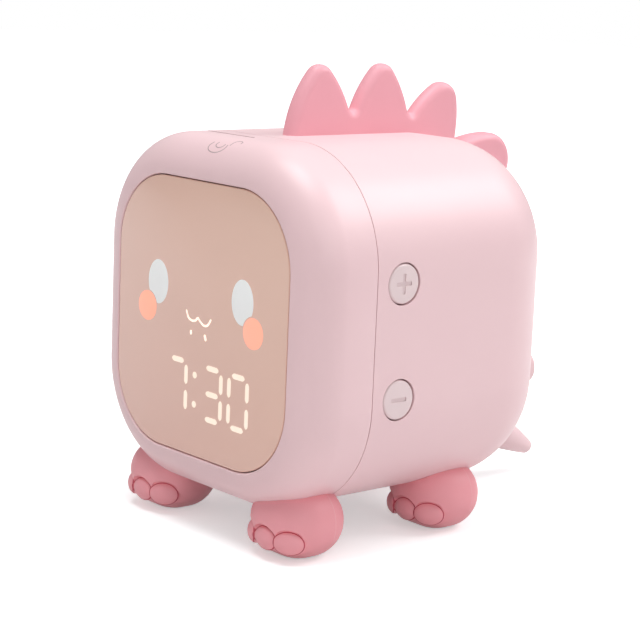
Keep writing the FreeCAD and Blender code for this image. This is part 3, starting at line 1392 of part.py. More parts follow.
def board_screws():
    front_places = [(x, front_board_y + size.board_thickness, z, TO_FRONT)
                    for x, z in front_board_post_places]
    main_places = [(x, main_board_y - size.board_thickness, z, TO_REAR)
                   for x, z in main_board_post_places]
    side_places = [(side_board_x - size.board_thickness, y, z, TO_RIGHT)
                   for y, z in side_board_post_places]
    return group("board_screws", [
        screw(f"board_screw_{n}", size.board_screw_radius, size.board_screw_head,
              size.board_screw_length, *where)
        for n, where in enumerate(front_places + main_places + side_places)
    ])


def trim_screws():
    places = [(ZERO, y, top_z - size.wall, UP) for y in crest_screw_ys]
    places.append(spike_axis(-size.wall - size.trim_boss_height))
    places.append(tail_axis(-size.wall))
    return group("trim_screws", [
        screw(f"trim_screw_{n}", size.trim_screw_radius, size.trim_screw_head,
              size.trim_screw_length, *where)
        for n, where in enumerate(places)
    ])


side_cap_height = side_x - side_flange_x
rear_cap_height = rear_y + size.rear_button_proud - rear_flange_y
side_plunger_x = side_switch_x + size.plunger_stand
rear_plunger_y = rear_switch_y + size.plunger_stand

pieces = [
    front_shell(),
    rear_shell(),
    face_lens(),
    lens_tape(),
    light_diffuser(),
    segment_housing(),
    segment_windows(),
    display_leds(),
    front_board("display_board", display_z),
    front_board("night_light_board", night_board_z),
    night_light_leds(),
    main_board(),
    main_board_chips(),
    charging_socket(),
    rear_switches(),
    side_board(),
    side_switches(),
    battery_pad(),
    battery_pack(),
    speaker_frame(),
    speaker_magnet(),
    speaker_cone(),
    speaker_gasket(),
    touch_pad(),
    crest(),
    rear_spike(),
    tail(),
    case_screws(),
    foot_screws(),
    board_screws(),
    trim_screws(),
]
for name, (x, y) in paw_places.items():
    pieces.append(paw(name, x, y))
for name, z in (("plus", plus_z), ("minus", minus_z)):
    pieces.append(button(f"{name}_button", side_cap_height, side_x, side_button_y, z,
                         TO_RIGHT))
    pieces.append(plunger(f"{name}_plunger", side_plunger_x, side_button_y, z, TO_RIGHT))
for name, x in (("alarm", rear_button_x), ("clock", -rear_button_x)):
    pieces.append(button(f"{name}_button", rear_cap_height, x,
                         rear_y + size.rear_button_proud, rear_button_z, TO_REAR))
    pieces.append(plunger(f"{name}_plunger", x, rear_plunger_y, rear_button_z, TO_REAR))

doc.recompute()
for item in doc.Objects:
    if "Invalid" in item.State or "Error" in item.State:
        raise RuntimeError(f"{item.Label} failed: {item.State}")
for piece in pieces:
    if piece.Shape.isNull() or not piece.Shape.isValid():
        raise RuntimeError(f"{piece.Label} has no valid shape")

os.makedirs("parts", exist_ok=True)
for piece in pieces:
    piece.Shape.exportStep(f"parts/{piece.Label}.step")
    print(f"{piece.Label}: {len(piece.Shape.Solids)} solids, {piece.Shape.Volume:.0f} mm3")
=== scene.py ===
"""Looks of a small alarm clock with a night light: rounded case on paws, face, crest and tail."""

import json
import math

import bmesh
import bpy
from bpy.props import FloatProperty, FloatVectorProperty, PointerProperty
from mathutils import Matrix, Vector
from mathutils.bvhtree import BVHTree


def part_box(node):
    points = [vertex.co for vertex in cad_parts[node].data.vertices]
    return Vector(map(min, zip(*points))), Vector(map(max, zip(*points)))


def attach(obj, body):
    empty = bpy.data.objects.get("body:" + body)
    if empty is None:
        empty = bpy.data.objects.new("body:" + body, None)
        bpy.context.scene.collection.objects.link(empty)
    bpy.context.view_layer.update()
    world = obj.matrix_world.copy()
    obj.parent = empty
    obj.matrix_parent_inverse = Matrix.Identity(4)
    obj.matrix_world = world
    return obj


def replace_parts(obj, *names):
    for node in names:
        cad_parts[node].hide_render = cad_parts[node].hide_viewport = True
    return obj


bl_info = {
    "name": "Alarm clock with night light",
    "version": (1, 0, 0),
    "blender": (4, 5, 0),
    "location": "3D View > Sidebar > Clock",
    "description": "Builds the visible pieces, finishes and stage of a small alarm clock",
    "category": "Object",
}

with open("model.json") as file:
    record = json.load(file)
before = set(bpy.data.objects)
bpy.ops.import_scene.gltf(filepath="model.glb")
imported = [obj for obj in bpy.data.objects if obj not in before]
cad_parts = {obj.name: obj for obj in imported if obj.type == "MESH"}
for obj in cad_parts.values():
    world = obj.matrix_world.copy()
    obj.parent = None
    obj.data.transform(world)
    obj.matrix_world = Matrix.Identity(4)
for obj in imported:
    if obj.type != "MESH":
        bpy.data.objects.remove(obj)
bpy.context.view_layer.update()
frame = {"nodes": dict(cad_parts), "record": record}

MM = 0.001

# Places and sizes of the solids that the pieces lie on or stand in for

FRONT_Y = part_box("front_shell")[0].y
SEAM_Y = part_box("rear_shell")[0].y
SIDE_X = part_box("rear_shell")[1].x
BOTTOM_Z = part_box("rear_shell")[0].z
TOP_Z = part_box("rear_shell")[1].z
CENTRE_Z = (BOTTOM_Z + TOP_Z) / 2
CASE_CORNER = 32.7 * MM
FRONT_ROUND = 11.5 * MM
WALL = 2.2 * MM
PAW_HALF_DEPTH = 12.0 * MM
PAW_HUB_Z = 9.0 * MM
TOE_SPREAD = 8.3 * MM
TOE_DROP = 2.1 * MM
TOE_Z = 6.2 * MM
TOE_LEAN = math.radians(36.3)

# Marks on the window, in millimetres from its middle line and from the middle of the case

MOUTH = ((-5.6, 1.65), (-4.7, -0.1), (-3.1, -0.75), (-1.4, -0.5), (-0.3, 0.35), (0.9, -0.5),
         (2.6, -1.3), (4.3, -0.9), (5.6, 0.75))
NOSTRILS = (((-3.35, -3.95), (-3.3, -4.42)), ((3.1, -4.15), (3.5, -5.1)))
DIGIT_Z = -20.2
COLON_X = -1.0
COLON_SPREAD = 4.2
LIT_BARS = (
    (-9.05, ("top", "upper right", "lower right")),
    (7.05, ("top", "middle", "bottom", "upper right", "lower right")),
    (18.7, ("top", "bottom", "upper left", "upper right", "lower left", "lower right")),
)

# Marks on top of the case, in millimetres sideways from its middle and along it from the front

SYMBOL = (
    ((-2.6, 12.2), (-3.1, 10.6), (-2.4, 9.2), (-0.7, 8.4), (1.4, 8.3), (3.2, 9.0), (4.1, 10.3),
     (3.9, 11.7)),
    ((-0.6, 12.4), (-0.8, 11.3), (0.1, 10.4), (1.4, 10.2), (2.5, 10.8), (2.7, 11.9)),
    ((4.9, 11.6), (5.0, 13.2), (5.6, 14.2), (6.7, 14.5), (7.8, 14.0), (8.0, 13.1)),
)
# A dark line of painted seam shadow, standing for the shade of the seam between the case's halves
SEAM_SHADOW_LINE = ((-17.5, 21.5), (3.5, 21.5))

# A case screw, in millimetres: its domed head as (below the top, in from the rim), and its cross
# recess as (above the top, reach of a wing, half a wing's width)

DOME = ((0.7, 0.0), (0.25, 0.3), (0.0, 1.0))
CROSS = ((-1.0, 0.6, 0.24), (0.2, 1.5, 0.40))

# The stage, in metres: the floor, where it fades to white and how dim it starts, the lamps as
# (name, place, width, watts), and the photo's camera, its lens and sensor in millimetres

FLOOR_HALF = 3.0
FLOOR_SEEN = (0.92, 0.97, 0.97)
FLOOR_BOUNCE = (0.74, 0.71, 0.71)
# Painted shade: the floor glows less near the clock, which deepens its shadow; given as distances
# from the clock and the dimmest glow
FLOOR_SHADE_FROM, FLOOR_SHADE_TO = 0.16, 0.70
FLOOR_SHADE_LOW = 0.42
WORLD_LIGHT = 0.36
LAMPS = (
    ("key", (0.0, -0.18, 1.15), 0.7, 8.0),
    ("fill", (0.9, -0.40, 0.45), 0.8, 1.5),
    ("rim", (0.4, 0.7, 0.8), 0.6, 4.6),
)
CAMERA_PLACE = (0.41481, -0.38243, 0.16110)
CAMERA_AZIMUTH = math.radians(49.19)
CAMERA_ELEVATION = math.radians(10.63)
CAMERA_ROLL = math.radians(2.40)
CAMERA_LENS, CAMERA_SENSOR = 106.82, 36


def linear(red, green, blue):
    """A colour given as seen on screen, 0 to 255, in the values that shaders use."""
    channels = []
    for value in (red, green, blue):
        value /= 255
        channels.append(value / 12.92 if value < 0.04045 else ((value + 0.055) / 1.055) ** 2.4)
    return tuple(channels)


def length(name, text, millimetres):
    """A length that the sidebar shows."""
    return FloatProperty(name=name, description=text, default=millimetres * MM, min=0,
                         unit="LENGTH", precision=5)


def colour(name, text, red, green, blue):
    """A colour that the sidebar shows."""
    return FloatVectorProperty(name=name, description=text, default=linear(red, green, blue),
                               size=3, min=0, max=1, subtype="COLOR")


class ClockSizes(bpy.types.PropertyGroup):
    """Sizes of what the looks add to the case."""

    eye_x: length("Eye spacing", "Middle of the face to the middle of an eye", 19.4)
    eye_z: length("Eye height", "Middle of the case to the middle of an eye", 7.85)
    eye_half_width: length("Eye half width", "Half the width of an eye", 4.75)
    eye_half_height: length("Eye half height", "Half the height of an eye", 6.35)
    cheek_x: length("Cheek spacing", "Middle of the face to the middle of a cheek", 24.4)
    cheek_z: length("Cheek height", "Middle of the case to the middle of a cheek", 0.15)
    cheek_radius: length("Cheek radius", "Radius of a cheek", 4.3)
    cheek_gap: length("Cheek gap", "Gap between a cheek and the eye it cuts into", 0.4)
    mouth_width: length("Mouth line", "Width of the mouth line", 0.62)
    nostril_width: length("Nostril line", "Width of the nostrils", 0.899)
    print_height: length("Print height", "How far marks stand on the window", 0.04)
    print_sink: length("Print sink", "How far marks reach into the window", 0.2)
    print_edge: length("Print edge", "Rounding of the eyes' and cheeks' edges", 0.03)
    digit_half_width: length("Digit half width", "Middle of a digit to its upright bars", 4.0)
    digit_half_height: length("Digit half height", "Middle of a digit to its end bars", 7.3)
    bar_length: length("Bar length", "Length of one bar of a digit", 5.9)
    bar_width: length("Bar width", "Width of one bar of a digit", 1.6)
    bar_corner: length("Bar corner", "Rounding of the corners of a bar", 0.5)
    dot_radius: length("Dot radius", "Radius of the colon's dots", 0.95)
    window_corner: length("Window corner", "Corner radius of the window", 21.4)
    window_gap: length("Window gap", "Gap between the window and the case", 0.28)
    window_recess: length("Window recess", "Window behind the case's front", 0.12)
    window_round: length("Window round", "Rounding of the window's front edge", 0.4)
    window_back: length("Window back", "Case's front to the back of the window", 1.8)
    rim_round: length("Rim round", "Rounding of the case's edge at the window", 0.55)
    rim_back: length("Rim back", "Case's front to the back of its rim at the window", 1.9)
    seam_gap: length("Seam gap", "Gap between the two halves of the case", 0.15)
    seam_edge: length("Seam edge", "Rounding of the front half's edge at the seam", 0.18)
    symbol_and_seam_shadow_line: length("Symbol line", "Line width of the marks on top", 0.30)
    symbol_rise: length("Symbol rise", "How far the touch symbol stands on the case", 0.03)
    # The short line on top is a painted seam shadow
    seam_shadow_rise: length("Top line rise", "How far the short line stands on the case", 0.1)
    line_sink: length("Line sink", "How far the marks on top reach into the case", 0.2)
    cap_edge: length("Cap edge", "Rounding of the side buttons' outer edge", 0.7)
    cap_height: length("Cap height", "Outer face of a side button to its flange", 2.6)
    flange_rim: length("Flange rim", "How far the flange stands out round the cap", 1.3)
    flange_height: length("Flange height", "Thickness of a side button's flange", 1.0)
    stem_radius: length("Stem radius", "Radius of a side button's stem", 2.2)
    sign_length: length("Sign length", "Length of a bar of the signs on the buttons", 5.6)
    sign_width: length("Sign width", "Width of a bar of the signs on the buttons", 1.15)
    sign_corner: length("Sign corner", "Rounding of the corners of the signs", 0.35)
    engraving: length("Engraving", "Depth of the signs on the buttons", 0.3)
    # Painted shade: a darker layer on the floor of each engraved sign stands for the shade in the
    # engraving
    sign_shade_gap: length("Ink gap", "Gap between a sign's ink and its walls", 0.05)
    sign_shade_height: length("Ink height", "How far the ink stands on the sign's floor", 0.03)
    sign_shade_sink: length("Ink sink", "How far the ink reaches into the sign's floor", 0.1)
    # Painted shade: the dark line laid round each toe stands for the shade in the toe's groove
    toe_half_width: length("Toe half width", "Middle of a toe to its line, sideways", 4.4)
    toe_half_height: length("Toe half height", "Middle of a toe to its line, upwards", 3.25)
    toe_line: length("Toe line", "Width of the line round a toe", 0.42)
    toe_groove_shade_rise: length("Toe line rise", "How far a toe's line stands on the paw", 0.06)
    # The paws' mould line stands a little on the paw; its lighter colour is a painted highlight
    # along it
    mould_line: length("Mould line", "Width of the mould line round a paw", 0.2)
    mould_line_rise: length("Mould line rise", "How far that line stands on the paw", 0.03)
    mould_line_back: length("Mould line back", "Middle of a paw to its mould line", 3.5)
    head_radius: length("Screw head radius", "Radius of the case screws' heads", 2.6)
    head_height: length("Screw head height", "Height of the case screws' heads", 1.6)
    shank_radius: length("Shank radius", "Radius of the case screws' shanks", 1.4)
    tip_radius: length("Tip radius", "Radius of the case screws' ends", 0.9)
    tip_length: length("Tip length", "Length of the case screws' tapered ends", 1.2)


class ClockColours(bpy.types.PropertyGroup):
    """Colours of the finishes that show."""

    case: colour("Case", "Moulded case", 246, 215, 218)
    case_deep: colour("Case, deeper", "Slight variation of the case colour", 240, 206, 211)
    button: colour("Side buttons", "Caps of the side buttons", 240, 222, 223)
    button_deep: colour("Side buttons, deeper", "Slight variation of that", 233, 212, 214)
    crest: colour("Crest", "Crest and lobe", 247, 180, 191)
    crest_deep: colour("Crest, deeper", "Slight variation of the crest colour", 240, 168, 180)
    paw: colour("Paws", "Paws", 252, 176, 184)
    paw_deep: colour("Paws, deeper", "Slight variation of the paw colour", 243, 160, 169)
    # Painted shade: the dark colour of the line round each toe stands for the shade in the toe's
    # groove
    toe_line: colour("Toe lines", "Lines round the toes", 206, 92, 106)
    toe_groove_shade_deep: colour("Toe lines, deeper", "Slight variation of that", 194, 80, 96)
    # Painted highlight: the mould line's lighter pink stands for the light that the line catches
    mould_line: colour("Mould lines", "Mould lines of the paws", 252, 192, 196)
    mould_line_highlight_deep: colour("Mould lines, deeper", "Slight variation of that", 246, 182, 188)
    window_high: colour("Window, upper", "Window at its upper right", 238, 200, 180)
    window_low: colour("Window, lower", "Window at its lower left", 242, 196, 182)
    eye: colour("Eyes", "Printed eyes", 224, 226, 226)
    cheek: colour("Cheeks", "Printed cheeks", 255, 178, 152)
    lit: colour("Lit marks", "Digits, mouth and nostrils", 255, 240, 225)
    # Painted shade: the signs' darker colour stands for the shade in their engravings
    sign: colour("Signs", "Signs on the side buttons", 231, 209, 211)
    # Shared by the touch symbol's marks and the painted seam shadow line on top
    symbol: colour("Symbol", "Marks on top of the case", 188, 162, 165)


# Finishes

finishes = {}

# Sockets of a Mix node that mixes colours
MIX_SHARE, MIX_FIRST, MIX_SECOND, MIX_RESULT = 0, 6, 7, 2


class Wire:
    """An output of a node, which can be used in sums with numbers and other wires."""

    def __init__(self, nodes, socket, node):
        self.nodes = nodes
        self.socket = socket
        self.node = node

    def out(self, name):
        return Wire(self.nodes, self.node.outputs[name], self.node)

    def __add__(self, other):
        return self.nodes.maths("ADD", self, other)

    def __radd__(self, other):
        return self.nodes.maths("ADD", other, self)

    def __sub__(self, other):
        return self.nodes.maths("SUBTRACT", self, other)

    def __rsub__(self, other):
        return self.nodes.maths("SUBTRACT", other, self)

    def __mul__(self, other):
        return self.nodes.maths("MULTIPLY", self, other)

    def __rmul__(self, other):
        return self.nodes.maths("MULTIPLY", other, self)

    def __truediv__(self, other):
        return self.nodes.maths("DIVIDE", self, other)

    def __lt__(self, other):
        return self.nodes.maths("LESS_THAN", self, other)


class Nodes:
    """The node tree of a material or a world."""

    def __init__(self, owner):
        owner.use_nodes = True
        self.owner = owner
        self.tree = owner.node_tree
        self.tree.nodes.clear()

    def node(self, kind, settings=None, sockets=None):
        """A node of a type, with its settings and the values or wires of its sockets."""
        node = self.tree.nodes.new(kind)
        for name, value in (settings or {}).items():
            setattr(node, name, value)
        for name, value in (sockets or {}).items():
            if isinstance(value, Wire):
                self.tree.links.new(value.socket, node.inputs[name])
            elif hasattr(value, "__len__") and node.inputs[name].type == "RGBA":
                node.inputs[name].default_value = (*value[:3], 1)
            else:
                node.inputs[name].default_value = value
        return Wire(self, node.outputs[0] if node.outputs else None, node)

    def maths(self, operation, first, second):
        return self.node("ShaderNodeMath", {"operation": operation}, {0: first, 1: second})

    def blend(self, share, first, second):
        """Two colours mixed by a share."""
        return self.node("ShaderNodeMix", {"data_type": "RGBA"}, {
            MIX_SHARE: share, MIX_FIRST: first, MIX_SECOND: second}).out(MIX_RESULT)


class Finish(Nodes):
    """One material, kept in finishes by its name, and the nodes that it is built from."""

    def __init__(self, name):
        super().__init__(bpy.data.materials.new(name))
        self.name = name
        self.place = self.node("ShaderNodeTexCoord").out("Object")

    def noise(self, scale, detail=2.0, roughness=0.5, place=None):
        return self.node("ShaderNodeTexNoise", None, {
            "Vector": place or self.place, "Scale": scale, "Detail": detail,
            "Roughness": roughness})

    def bump(self, height, strength, distance):
        return self.node("ShaderNodeBump", None, {
            "Height": height, "Strength": strength, "Distance": distance})

    def ends_in(self, shader):
        self.node("ShaderNodeOutputMaterial", None, {"Surface": shader})
        finishes[self.name] = self.owner
        return self.owner

    def surface(self, **sockets):
        """Ends the finish in one principled shader."""
        names = {name.replace("_", " "): value for name, value in sockets.items()}
        return self.ends_in(self.node("ShaderNodeBsdfPrincipled", None, names))


def moulded(name, light, deep, rough=0.40):
    """Satin moulded plastic: fine spark-eroded grain and slow changes of tint and sheen."""
    finish = Finish(name)
    cloud = finish.noise(scale=28, detail=3)
    fine = finish.noise(scale=3200, roughness=0.6)
    coarse = finish.noise(scale=900)
    finish.surface(
        Base_Color=finish.blend(cloud * 0.7 + fine * 0.25, light, deep),
        Roughness=rough + 0.10 * (cloud + fine * 0.5 - 0.75),
        Normal=finish.bump(fine * 0.6 + coarse * 0.4, strength=0.10, distance=0.04 * MM),
        IOR=1.46,
    )


def smoked_window(name, high, low):
    """Tinted acrylic over a frosted sheet: a slow change of tint across the face."""
    finish = Finish(name)
    span = 90 * MM
    parts = finish.node("ShaderNodeSeparateXYZ", None, {"Vector": finish.place})
    rise = (parts.out("Z") - (CENTRE_Z - span / 2)) / span
    across = (parts.out("X") + span / 2) / span
    cloud = finish.noise(scale=22)
    haze = finish.noise(scale=1500)
    share = rise * 0.55 + across * 0.45 + 0.16 * (cloud - 0.5)
    finish.surface(
        Base_Color=finish.blend(share, low, high), Roughness=0.20 + 0.05 * haze,
        Normal=finish.bump(haze, strength=0.05, distance=0.02 * MM),
        Coat_Weight=0.4, Coat_Roughness=0.08, IOR=1.49,
    )


def printed(name, tint, lightness=0.0):
    """Screen print: slightly uneven, and lit from behind where it is part of the light; the same
    finish paints the shade in the button signs and the seam shadow on top.
    """
    finish = Finish(name)
    dots = finish.noise(scale=5200, detail=1)
    cloud = finish.noise(scale=160)
    colouring = finish.blend(cloud, tint, [value * 0.94 for value in tint])
    light = {"Emission_Color": colouring, "Emission_Strength": lightness} if lightness else {}
    finish.surface(
        Base_Color=colouring, Roughness=0.42 + 0.1 * dots,
        Normal=finish.bump(dots, strength=0.08, distance=0.02 * MM), **light,
    )


def lit_bar(name, tint):
    """A lit bar: a little uneven, and warmer where it is less bright."""
    finish = Finish(name)
    warmer = [value * share for value, share in zip(tint, (1.0, 0.93, 0.84))]
    finish.surface(
        Base_Color=(0.06, 0.055, 0.05), Roughness=0.4,
        Emission_Color=finish.blend(finish.noise(scale=420), tint, warmer),
        Emission_Strength=0.94,
    )


def metal(name, tint, rough=0.28):
    """Brushed metal with a slightly dull cloud over it."""
    finish = Finish(name)
    brushed = finish.node("ShaderNodeMapping", None,
                          {"Vector": finish.place, "Scale": (300, 300, 9000)})
    lines = finish.noise(scale=1, roughness=0.6, place=brushed)
    cloud = finish.noise(scale=240, detail=3)
    finish.surface(
        Base_Color=finish.blend(cloud, tint, [value * 0.82 for value in tint]), Metallic=1.0,
        Roughness=rough + 0.14 * (lines - 0.4),
        Normal=finish.bump(lines, strength=0.08, distance=0.03 * MM),
    )


def circuit_board(name):
    """Green solder mask with copper tracks under it and tinned pads."""
    finish = Finish(name)
    cells = {"Vector": finish.place, "Scale": 420}
    track = finish.node("ShaderNodeTexVoronoi", {"feature": "DISTANCE_TO_EDGE"}, cells) < 0.08
    pad = finish.node("ShaderNodeTexVoronoi", None, cells) < 0.22
    mask = finish.blend(track, linear(24, 92, 58), linear(40, 122, 78))
    finish.surface(
        Base_Color=finish.blend(pad, mask, linear(200, 198, 190)), Metallic=pad,
        Roughness=0.42 - 0.12 * pad,
        Normal=finish.bump(track, strength=0.25, distance=0.03 * MM),
    )


def soft(name, light, deep, scale=1800):
    """Foam, paper or wrap: open grain with a strong bump."""
    finish = Finish(name)
    cells = finish.node("ShaderNodeTexVoronoi", None, {"Vector": finish.place, "Scale": scale})
    cloud = finish.noise(scale=120, detail=3)
    finish.surface(
        Base_Color=finish.blend(cells * 0.8 + cloud * 0.3, light, deep),
        Roughness=0.72 + 0.2 * cloud,
        Normal=finish.bump(cells, strength=0.4, distance=0.12 * MM),
    )


# Outlines and paths

def scaled(points, up=0.0):
    """Points given in millimetres, as vectors in metres, moved up."""
    return [Vector((a * MM, b * MM + up)) for a, b in points]


def quarter_round(radius, steps, first=0):
    """Points of a rounded edge that touches both axes, from (0, radius) to (radius, 0)."""
    angles = [math.pi / 2 * step / steps for step in range(first, steps + 1)]
    return [(radius * (1 - math.cos(angle)), radius * (1 - math.sin(angle))) for angle in angles]


def ellipse(x, z, half_width, half_height, count=96):
    """The points of an ellipse, against the clock."""
    return [(x + half_width * math.cos(2 * math.pi * n / count),
             z + half_height * math.sin(2 * math.pi * n / count)) for n in range(count)]


def outward(outline):
    """Unit normals of an outline that runs against the clock."""
    normals = []
    count = len(outline)
    for number in range(count):
        (ax, az), (bx, bz) = outline[number - 1], outline[(number + 1) % count]
        along = Vector((bx - ax, bz - az)).normalized()
        normals.append((along.y, -along.x))
    return normals


def softened(corners, radius, steps=4):
    """A polygon with rounded corners."""
    outline = []
    count = len(corners)
    for number in range(count):
        corner = Vector(corners[number])
        before = Vector(corners[number - 1]) - corner
        after = Vector(corners[(number + 1) % count]) - corner
        reach = min(radius, before.length * 0.45, after.length * 0.45)
        start, end = corner + before.normalized() * reach, corner + after.normalized() * reach
        for step in range(steps + 1):
            share = step / steps
            point = start * (1 - share) ** 2 + corner * 2 * share * (1 - share) + end * share ** 2
            outline.append((point.x, point.y))
    return outline


def smoothed(path, steps=8):
    """A curve through the points of a path, as more points."""
    smooth = []
    for number in range(len(path) - 1):
        p0 = path[max(number - 1, 0)]
        p1, p2 = path[number], path[number + 1]
        p3 = path[min(number + 2, len(path) - 1)]
        for step in range(steps):
            t = step / steps
            smooth.append(0.5 * (2 * p1 + (p2 - p0) * t
                                 + (2 * p0 - 5 * p1 + 4 * p2 - p3) * t ** 2
                                 + (3 * p1 - p0 - 3 * p2 + p3) * t ** 3))
    return smooth + [path[-1]]


def sides_of(path, width):
    """The points to the left and right of each point of a path, half a width away."""
    pairs = []
    for number, point in enumerate(path):
        along = path[min(number + 1, len(path) - 1)] - path[max(number - 1, 0)]
        side = Vector((-along.y, along.x)).normalized() * width / 2
        pairs.append((point + side, point - side))
    return pairs


def stroke(path, width, cap_steps=7):
    """The outline of a line of one width with round ends."""
    left, right = zip(*sides_of(path, width))
    outline = list(right)
    for end, start, rest in ((path[-1], right[-1], reversed(left)), (path[0], left[0], ())):
        for step in range(1, cap_steps):
            turn = Matrix.Rotation(math.pi * step / cap_steps, 2)
            outline.append(end + turn @ (start - end))
        outline += rest
    return [(point.x, point.y) for point in outline]


def plus_outline(half_long, half_wide):
    """The twelve corners of a plus sign."""
    corners = []
    for turn in range(4):
        for a, b in ((half_long, -half_wide), (half_long, half_wide), (half_wide, half_wide)):
            for _ in range(turn):
                a, b = -b, a
            corners.append((a, b))
    return corners


def eye_outline(sizes, side, count=160, cut_steps=16):
    """An eye's ellipse with its outer lower part cut away round the cheek."""
    cheek = Vector((side * sizes.cheek_x, CENTRE_Z + sizes.cheek_z))
    reach = sizes.cheek_radius + sizes.cheek_gap
    ring = [Vector(point) for point in ellipse(side * sizes.eye_x, CENTRE_Z + sizes.eye_z,
                                               sizes.eye_half_width, sizes.eye_half_height, count)]
    kept = [(point - cheek).length > reach for point in ring]
    start = next(n for n in range(count) if kept[n] and not kept[n - 1])
    run = [ring[(start + n) % count] for n in range(sum(kept))]
    first, last = run[0] - cheek, run[-1] - cheek
    from_angle, to_angle = math.atan2(last.y, last.x), math.atan2(first.y, first.x)
    sweep = (to_angle - from_angle) % (2 * math.pi)
    if sweep > math.pi:
        sweep -= 2 * math.pi
    for step in range(1, cut_steps):
        angle = from_angle + sweep * step / cut_steps
        run.append(cheek + reach * Vector((math.cos(angle), math.sin(angle))))
    return [(point.x, point.y) for point in run]


# Meshes

def skin(build, rings):
    """Faces between each ring and the next, all of the same count."""
    count = len(rings[0])
    return [build.faces.new((lower[n], lower[(n + 1) % count], upper[(n + 1) % count], upper[n]))
            for lower, upper in zip(rings, rings[1:]) for n in range(count)]


def close_loft(build, rings):
    """Skins rings and caps both ends."""
    faces = skin(build, rings)
    faces.append(build.faces.new(list(reversed(rings[0]))))
    faces.append(build.faces.new(rings[-1]))
    bmesh.ops.recalc_face_normals(build, faces=faces)


def join_in_loop(build, rings):
    """Skins rings, the last one back to the first."""
    bmesh.ops.recalc_face_normals(build, faces=skin(build, rings + rings[:1]))


def rounded_ring(build, half_width, half_height, corner, middle_z, y, steps=26, runs=6):
    """Vertices of a rounded rectangle across Y, the same count whatever its size."""
    ring = []
    for turn, (sx, sz) in enumerate(((1, 1), (-1, 1), (-1, -1), (1, -1))):
        x, z = sx * (half_width - corner), middle_z + sz * (half_height - corner)
        arc = []
        for step in range(steps + 1):
            angle = math.pi / 2 * (turn + step / steps)
            arc.append(Vector((x + corner * math.cos(angle), y, z + corner * math.sin(angle))))
        if ring:
            ring += [ring[-1].lerp(arc[0], run / runs) for run in range(1, runs)]
        ring += arc
    ring += [ring[-1].lerp(ring[0], run / runs) for run in range(1, runs)]
    return [build.verts.new(point) for point in ring]


def case_ring(build, inset, y):
    """A ring of the case's outline, drawn in by inset."""
    return rounded_ring(build, SIDE_X - inset, (TOP_Z - BOTTOM_Z) / 2 - inset,
                        CASE_CORNER - inset, CENTRE_Z, y)


def window_ring(build, sizes, outset, y):
    """A ring of the window's outline, drawn out by outset."""
    low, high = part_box("face_lens")
    return rounded_ring(build, high.x + outset, (high.z - low.z) / 2 + outset,
                        sizes.window_corner + outset, (high.z + low.z) / 2, y)


def window_front(sizes):
    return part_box("face_lens")[0].y + sizes.window_recess


def mark(build, sizes, outline, edge=0.0):
    """A mark printed on the window, from an outline of (x, z) pairs, its front edge rounded."""
    front = window_front(sizes) - sizes.print_height
    levels = [(window_front(sizes) + sizes.print_sink, 0.0), (front + edge, 0.0)]
    if edge:
        levels += [(front + edge * 0.3, edge * 0.3), (front, edge)]
    normals = outward(outline)
    close_loft(build, [[build.verts.new((x - nx * inset, y, z - nz * inset))
                        for (x, z), (nx, nz) in zip(outline, normals)] for y, inset in levels])


def on_front_edge(u, v, rise):
    """A point v behind the case's front plane, measured along its top, rise above the surface."""
    arc = FRONT_ROUND * math.pi / 2
    if v >= arc:
        return Vector((u, FRONT_Y + FRONT_ROUND + v - arc, TOP_Z + rise))
    angle = v / FRONT_ROUND
    reach = FRONT_ROUND + rise
    return Vector((u, FRONT_Y + FRONT_ROUND - reach * math.cos(angle),
                   TOP_Z - FRONT_ROUND + reach * math.sin(angle)))


def line_on_top(build, sizes, path, rise):
    """A flat line that follows the case's top and front edge."""
    close_loft(build, [[build.verts.new(on_front_edge(*corner, height)) for corner, height in
                        ((left, rise), (right, rise),
                         (right, -sizes.line_sink), (left, -sizes.line_sink))]
                       for left, right in sides_of(path, sizes.symbol_and_seam_shadow_line)])


def laid_on(build, surface, rays, width, rise):
    """A thin flat ring laid on a mesh where rays (start, direction) meet it."""
    hits = [surface.ray_cast(start, direction) for start, direction in rays]
    if any(hit[0] is None for hit in hits):
        raise RuntimeError("a line misses the piece it lies on")
    rings = []
    for number, (point, normal, _, _) in enumerate(hits):
        along = (hits[(number + 1) % len(hits)][0] - hits[number - 1][0]).normalized()
        side = normal.cross(along).normalized() * width / 2
        rings.append([build.verts.new(point + sideways * side + normal * height)
                      for sideways, height in ((-1, rise), (1, rise), (1, -rise), (-1, -rise))])
    join_in_loop(build, rings)


# Objects

def bare_shape(name, mesh_maker):
    """An object at the origin, its place in its mesh."""
    mesh = bpy.data.meshes.new(name)
    build = bmesh.new()
    mesh_maker(build)
    build.to_mesh(mesh)
    build.free()
    shape = bpy.data.objects.new(name, mesh)
    bpy.context.scene.collection.objects.link(shape)
    return shape


def shade(mesh, sharp):
    """Smooth shading, except at edges with a sharper turn, in degrees."""
    mesh.shade_smooth()
    mesh.set_sharp_from_angle(angle=math.radians(sharp))


def plain_mesh(source):
    """Gives an object the mesh that its modifiers make, and removes them."""
    graph = bpy.context.evaluated_depsgraph_get()
    made = bpy.data.meshes.new_from_object(source.evaluated_get(graph))
    source.modifiers.clear()
    source.data = made


def carve(piece, cutter_maker, sharp=32):
    """Cuts a second shape out of a piece."""
    cutter = bare_shape("cutter", cutter_maker)
    knife = piece.modifiers.new("cut", "BOOLEAN")
    knife.operation = "DIFFERENCE"
    knife.solver = "EXACT"
    knife.object = cutter
    bpy.context.view_layer.update()
    plain_mesh(piece)
    bpy.data.objects.remove(cutter)
    shade(piece.data, sharp)


def new_shape(name, mesh_maker, finish, sharp=35, cutter=None):
    """A shaded object in a finish; what cutter makes is cut out of it."""
    shape = bare_shape(name, mesh_maker)
    shade(shape.data, sharp)
    shape.data.materials.append(finishes[finish])
    if cutter:
        carve(shape, cutter)
    return shape


def new_piece(name, mesh_maker, finish, body="case", sharp=35, cutter=None):
    """A shape that rides on a body."""
    piece = new_shape(name, mesh_maker, finish, sharp, cutter)
    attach(piece, body)
    return piece


